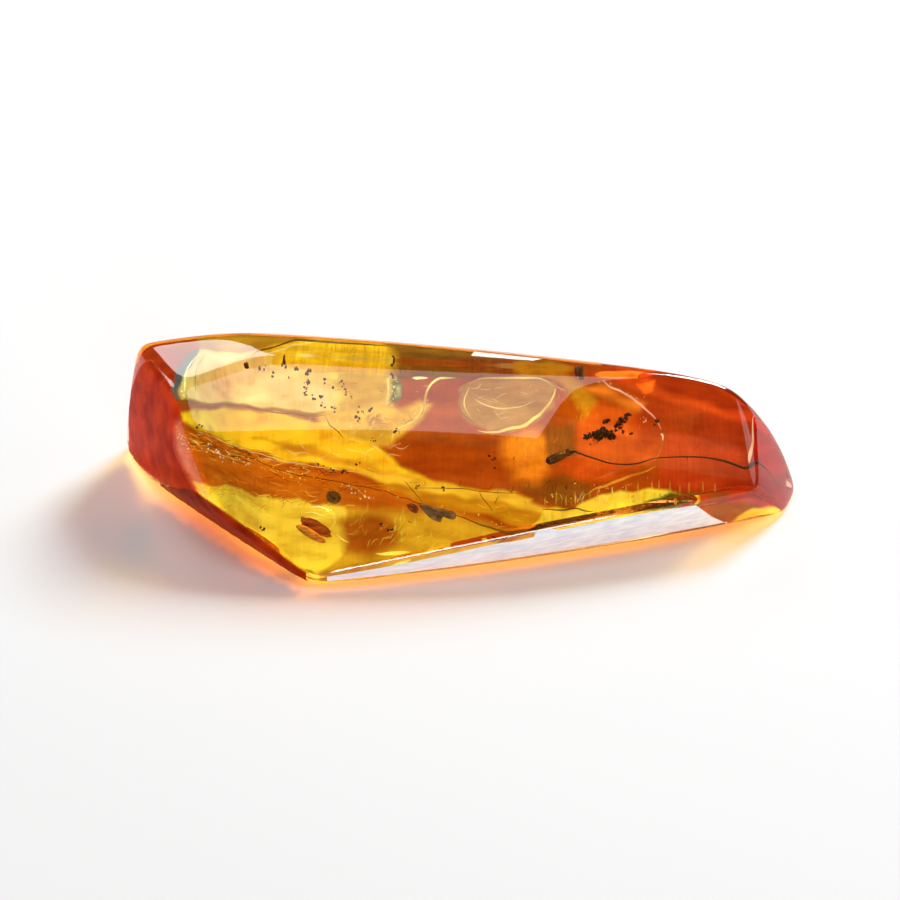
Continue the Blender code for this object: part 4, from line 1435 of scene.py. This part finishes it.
def make_husk():
    """The half shell of a husk: an oval bowl with a crinkled rim.

    Its rings run from the middle of its inside to its rim, and back outside. At share r of the way
    to the rim it is its depth times sqrt(1 - r^2) deep.
    """
    outward = seam_axes()[1]
    turn = np.linspace(0, 2 * pi, HUSK_COLUMNS, endpoint=False)
    shares = np.linspace(0.12, 1, HUSK_RINGS)
    along, across = np.cos(turn) * HUSK_HALF_LENGTH, np.sin(turn) * HUSK_HALF_WIDTH
    oval = np.stack([
        along * cos(HUSK_TURN) - across * sin(HUSK_TURN),
        along * sin(HUSK_TURN) + across * cos(HUSK_TURN)], axis=1)
    rim = seen_at_plane(np.array(HUSK_MIDDLE) + oval, -HUSK_BEHIND)
    middle = rim.mean(axis=0)
    crinkle = 1 + 0.05 * np.sin(6 * turn) + 0.04 * np.sin(11 * turn + 1)

    def bowl(depth, spread):
        sink = depth * np.sqrt(np.maximum(1 - (shares * 0.98) ** 2, 0))
        flat = middle + (rim - middle)[None] * (shares[:, None] * spread * crinkle)[..., None]
        return flat - sink[:, None, None] * outward

    inner_depth = HUSK_DEPTH - HUSK_WALL
    rows = np.concatenate([bowl(inner_depth, HUSK_INSIDE), bowl(HUSK_DEPTH, 1.0)[::-1]])
    shape = rings_shape(middle - outward * inner_depth, rows, middle - outward * HUSK_DEPTH)
    finish = debris_material("papery_husk", 0.3, "5c2406", "b06a1e", stretch=(3, 1, 1), turn=-30)
    husk = new_piece("husk", shape, finish)
    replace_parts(husk, "capsule_husk")


# Crumbs: frame x, y and radius in mm
CRUMBS = {
    "bark_crumb": (604.5, 421.5, 0.16),
    "dust_crumb": (657, 421, 0.17),
    "soil_crumb": (581, 375, 0.2),
}
CRUMB_GRAINS = 9


def make_crumbs():
    """Each crumb is a rough grain with smaller ones stuck round it; two are flat scraps."""
    chance = np.random.default_rng(12)
    soil = debris_material("forest_soil_crumb", 0.1, "160c04", "4a2c10")
    chunk = grain(10, 16, seed=4, roughness=0.3)
    for name, (x, y, radius) in CRUMBS.items():
        centre = seen_at_plane([(x, y)], 0.0)
        around = centre + unit(chance.normal(size=(CRUMB_GRAINS, 3))) * radius * 0.8
        sizes = radius * chance.uniform(0.2, 0.5, CRUMB_GRAINS)
        shape = joined([
            copies(chunk, centre, random_frames(1, [radius], chance)),
            copies(chunk, around, random_frames(CRUMB_GRAINS, sizes, chance))])
        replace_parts(new_piece("dressed_" + name, shape, soil), name)
    wood = debris_material("decayed_wood_crumb", 0.2, "3c2018", "8c5a50", stretch=(3, 1, 1))
    leaf = debris_material("leaf_mould", 0.22, "241c04", "6c5c12")
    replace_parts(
        new_piece("second_flake", pillow(SECOND_FLAKE, 0.18, 6), wood), "wood_crumb")
    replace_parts(new_piece("leaf_spot", pillow(LEAF_SPOT, 0.14, 9), leaf), "leaf_crumb")


# Hairs: frame spots, and the plane they lie in, in mm out of the seam
HAIRS = (
    (((404.3, 480.7), (410.7, 488), (417, 495.6), (422.4, 502)), 0.1),
    (((415, 488), (428, 488), (442.7, 488.3), (464, 488.7), (480, 491.3), (506.7, 493),
      (528, 493)), 0.2),
    (((479.5, 491.3), (481, 496), (487.5, 504), (492.8, 511)), 0.15),
    (((498.7, 496), (496.5, 500), (494.4, 504)), 0.1),
    (((408, 521), (412, 523)), 0.1),
    (((492, 536), (496, 538)), 0.1),
)
HAIR_RADIUS, HAIR_STEP = 0.026, 2.5  # the step between its points is frame units


def make_hairs():
    """Tubes 0.05 mm thick, thinner at their ends, each along a smooth curve."""
    shapes = []
    for spots, out in HAIRS:
        count = max(8, int(np.ptp(np.asarray(spots), axis=0).sum() / HAIR_STEP))
        path = evened(seen_at_plane(smooth_path(spots, count), out)[None], 1)[0]
        shapes.append(tube(path, HAIR_RADIUS * swelling(count, ends=0.4, power=0.3), 6))
    finish = debris_material("dark_plant_hair", 0.1, "1a0f06", "3c2410", roughness=0.5)
    new_piece("hairs", joined(shapes), finish)


# Flecks of dust on the flows: frame x, y and how many grains
FLECKS = (
    (246, 365, 4), (263, 369, 3), (283, 364, 5), (296, 369, 4), (308, 371, 9), (307, 382, 8),
    (307, 387, 8), (305, 394, 8), (325, 381, 4), (334, 386, 3), (342, 384, 4), (345, 393, 5),
    (321, 397, 4), (322, 406, 6), (333, 408, 5), (357, 418, 5), (361, 410, 4), (371, 409, 5),
    (374, 441, 4), (395, 432, 4), (395, 361, 3), (393, 357, 3), (358, 465, 4), (345, 472, 5),
    (333, 469, 3), (320, 464, 3), (198, 425, 4), (262, 530, 4), (382, 524, 5), (390, 531, 4),
    (418, 486.5, 5), (272, 372, 3), (314, 399, 4), (350, 400, 3), (289, 378, 2), (444, 489, 3),
    (491, 457, 2), (494, 461, 2), (497, 465, 1), (514, 458, 2), (579, 372, 5), (583, 377, 4),
    (653, 424, 3), (630, 433, 2), (613, 442, 3), (593, 443, 2),
)
FLECK_STRAY = 1.6
SMALLEST_FLECK, LARGEST_FLECK = 0.035, 0.11


def make_flecks():
    """Clusters of rough grains, 0.035 to 0.11 mm in radius."""
    chance = np.random.default_rng(31)
    speck = grain(3, 6, seed=11, roughness=0.3)
    shapes = []
    for x, y, count in FLECKS:
        spots = np.array([x, y]) + chance.normal(size=(count, 2)) * FLECK_STRAY
        points, _ = before_flow(spots, FLECKS_LIFT)
        sizes = chance.uniform(SMALLEST_FLECK, LARGEST_FLECK, count)
        shapes.append(copies(speck, points, random_frames(count, sizes, chance)))
    finish = debris_material("soil_specks", 0.1, "1c0d04", "5a3010")
    new_piece("flecks", joined(shapes), finish)


# ---------------------------------------------------------------------------------------------
# Floor, light and camera
# ---------------------------------------------------------------------------------------------


FLOOR_HALF = 1.5  # metres
FLOOR_REFLECTS = 0.62  # of the light, in every colour


def make_floor():
    """A square sheet of matt white acrylic."""
    mesh = bpy.data.meshes.new("floor")
    corners = [(x * FLOOR_HALF, y * FLOOR_HALF, 0) for x, y in ((-1, -1), (1, -1), (1, 1), (-1, 1))]
    mesh.from_pydata(corners, [], [(0, 1, 2, 3)])
    made, tree, output = new_material("white_acrylic_sheet")
    shader = add_node(
        tree, "BsdfPrincipled",
        {"Base Color": (*[FLOOR_REFLECTS] * 3, 1), "Roughness": 0.7, "Specular IOR Level": 0.1},
    )
    tree.links.new(shader.outputs[0], output.inputs["Surface"])
    mesh.materials.append(made)
    floor = bpy.data.objects.new("floor", mesh)
    bpy.context.scene.collection.objects.link(floor)


# name: (azimuth, elevation, width and height in metres, radiance of its face)
SOFTBOXES = {
    "overhead_softbox": (0, 90, (0.37, 0.273), 2.5),
    "key_softbox": (146, 37, (0.2, 0.2), 48.0),
    "fill_softbox": (202, 33, (0.16, 0.14), 5.0),
    "left_softbox": (235, 24, (0.12, 0.12), 6.0),
    "right_softbox": (100, 18, (0.25, 0.2), 1.5),
    "low_back_strip": (176.3, 10, (0.02, 0.06), 6.0),
    "low_front_softbox": (13, 8, (0.3, 0.1), 19.0),
}
SOFTBOX_DISTANCE = 0.6  # metres
# The overhead one hangs a little to the left, level and slightly turned, so that its edges cross
# the dome in its mirror image
OVERHEAD_PLACE, OVERHEAD_TURN = (-0.07, -0.015, 0.4), -8
WORLD_STRENGTH = 0.04


def add_softbox(name, azimuth, elevation, size, radiance):
    """A rectangular lamp aimed at the stone, in metres, with the radiance that its face shows."""
    place = Vector(direction(azimuth, elevation)) * SOFTBOX_DISTANCE
    lamp = bpy.data.lights.new(name, "AREA")
    lamp.shape = "RECTANGLE"
    lamp.size, lamp.size_y = size
    lamp.energy = radiance * pi * size[0] * size[1]
    thing = bpy.data.objects.new(name, lamp)
    bpy.context.scene.collection.objects.link(thing)
    thing.location = place
    thing.rotation_euler = place.to_track_quat("Z", "Y").to_euler()
    return thing


def make_lights():
    """Softboxes round the stone, and a dim, even light from everywhere else."""
    boxes = {name: add_softbox(name, *box) for name, box in SOFTBOXES.items()}
    overhead = boxes["overhead_softbox"]
    overhead.location, overhead.rotation_euler = OVERHEAD_PLACE, (0, 0, radians(OVERHEAD_TURN))
    world = bpy.data.worlds.new("dim_studio")
    bpy.context.scene.world = world
    world.use_nodes = True
    background = world.node_tree.nodes["Background"]
    background.inputs["Color"].default_value = rgba("ffffff")
    background.inputs["Strength"].default_value = WORLD_STRENGTH


def make_camera():
    """A camera in front of the stone that looks down on it, its focal length set by the frame."""
    lens = bpy.data.cameras.new("camera")
    camera = bpy.data.objects.new("camera", lens)
    bpy.context.scene.collection.objects.link(camera)
    back = camera_axes()[2]
    camera.location = (CAMERA_TARGET + back * CAMERA_DISTANCE) * MM
    camera.rotation_euler = (radians(90 - CAMERA_ELEVATION), 0, 0)
    lens.sensor_width = SENSOR_WIDTH
    lens.lens = FRAME_PER_MM * CAMERA_DISTANCE * SENSOR_WIDTH / FRAME_SIZE
    lens.clip_start, lens.clip_end = 0.01, 10
    bpy.context.scene.camera = camera


make_camera()
make_amber()
make_skins()
# The flow pieces share one finish, which glows with painted light
cloudy_resin = flow_material()
make_flow_layer(cloudy_resin)
make_flow_lines(cloudy_resin)
make_sparkles(cloudy_resin)
make_insect()
make_scrap()
make_flake()
make_capsule()
make_husk()
make_crumbs()
make_hairs()
make_flecks()
make_floor()
make_lights()
bpy.context.scene.view_settings.view_transform = "Standard"
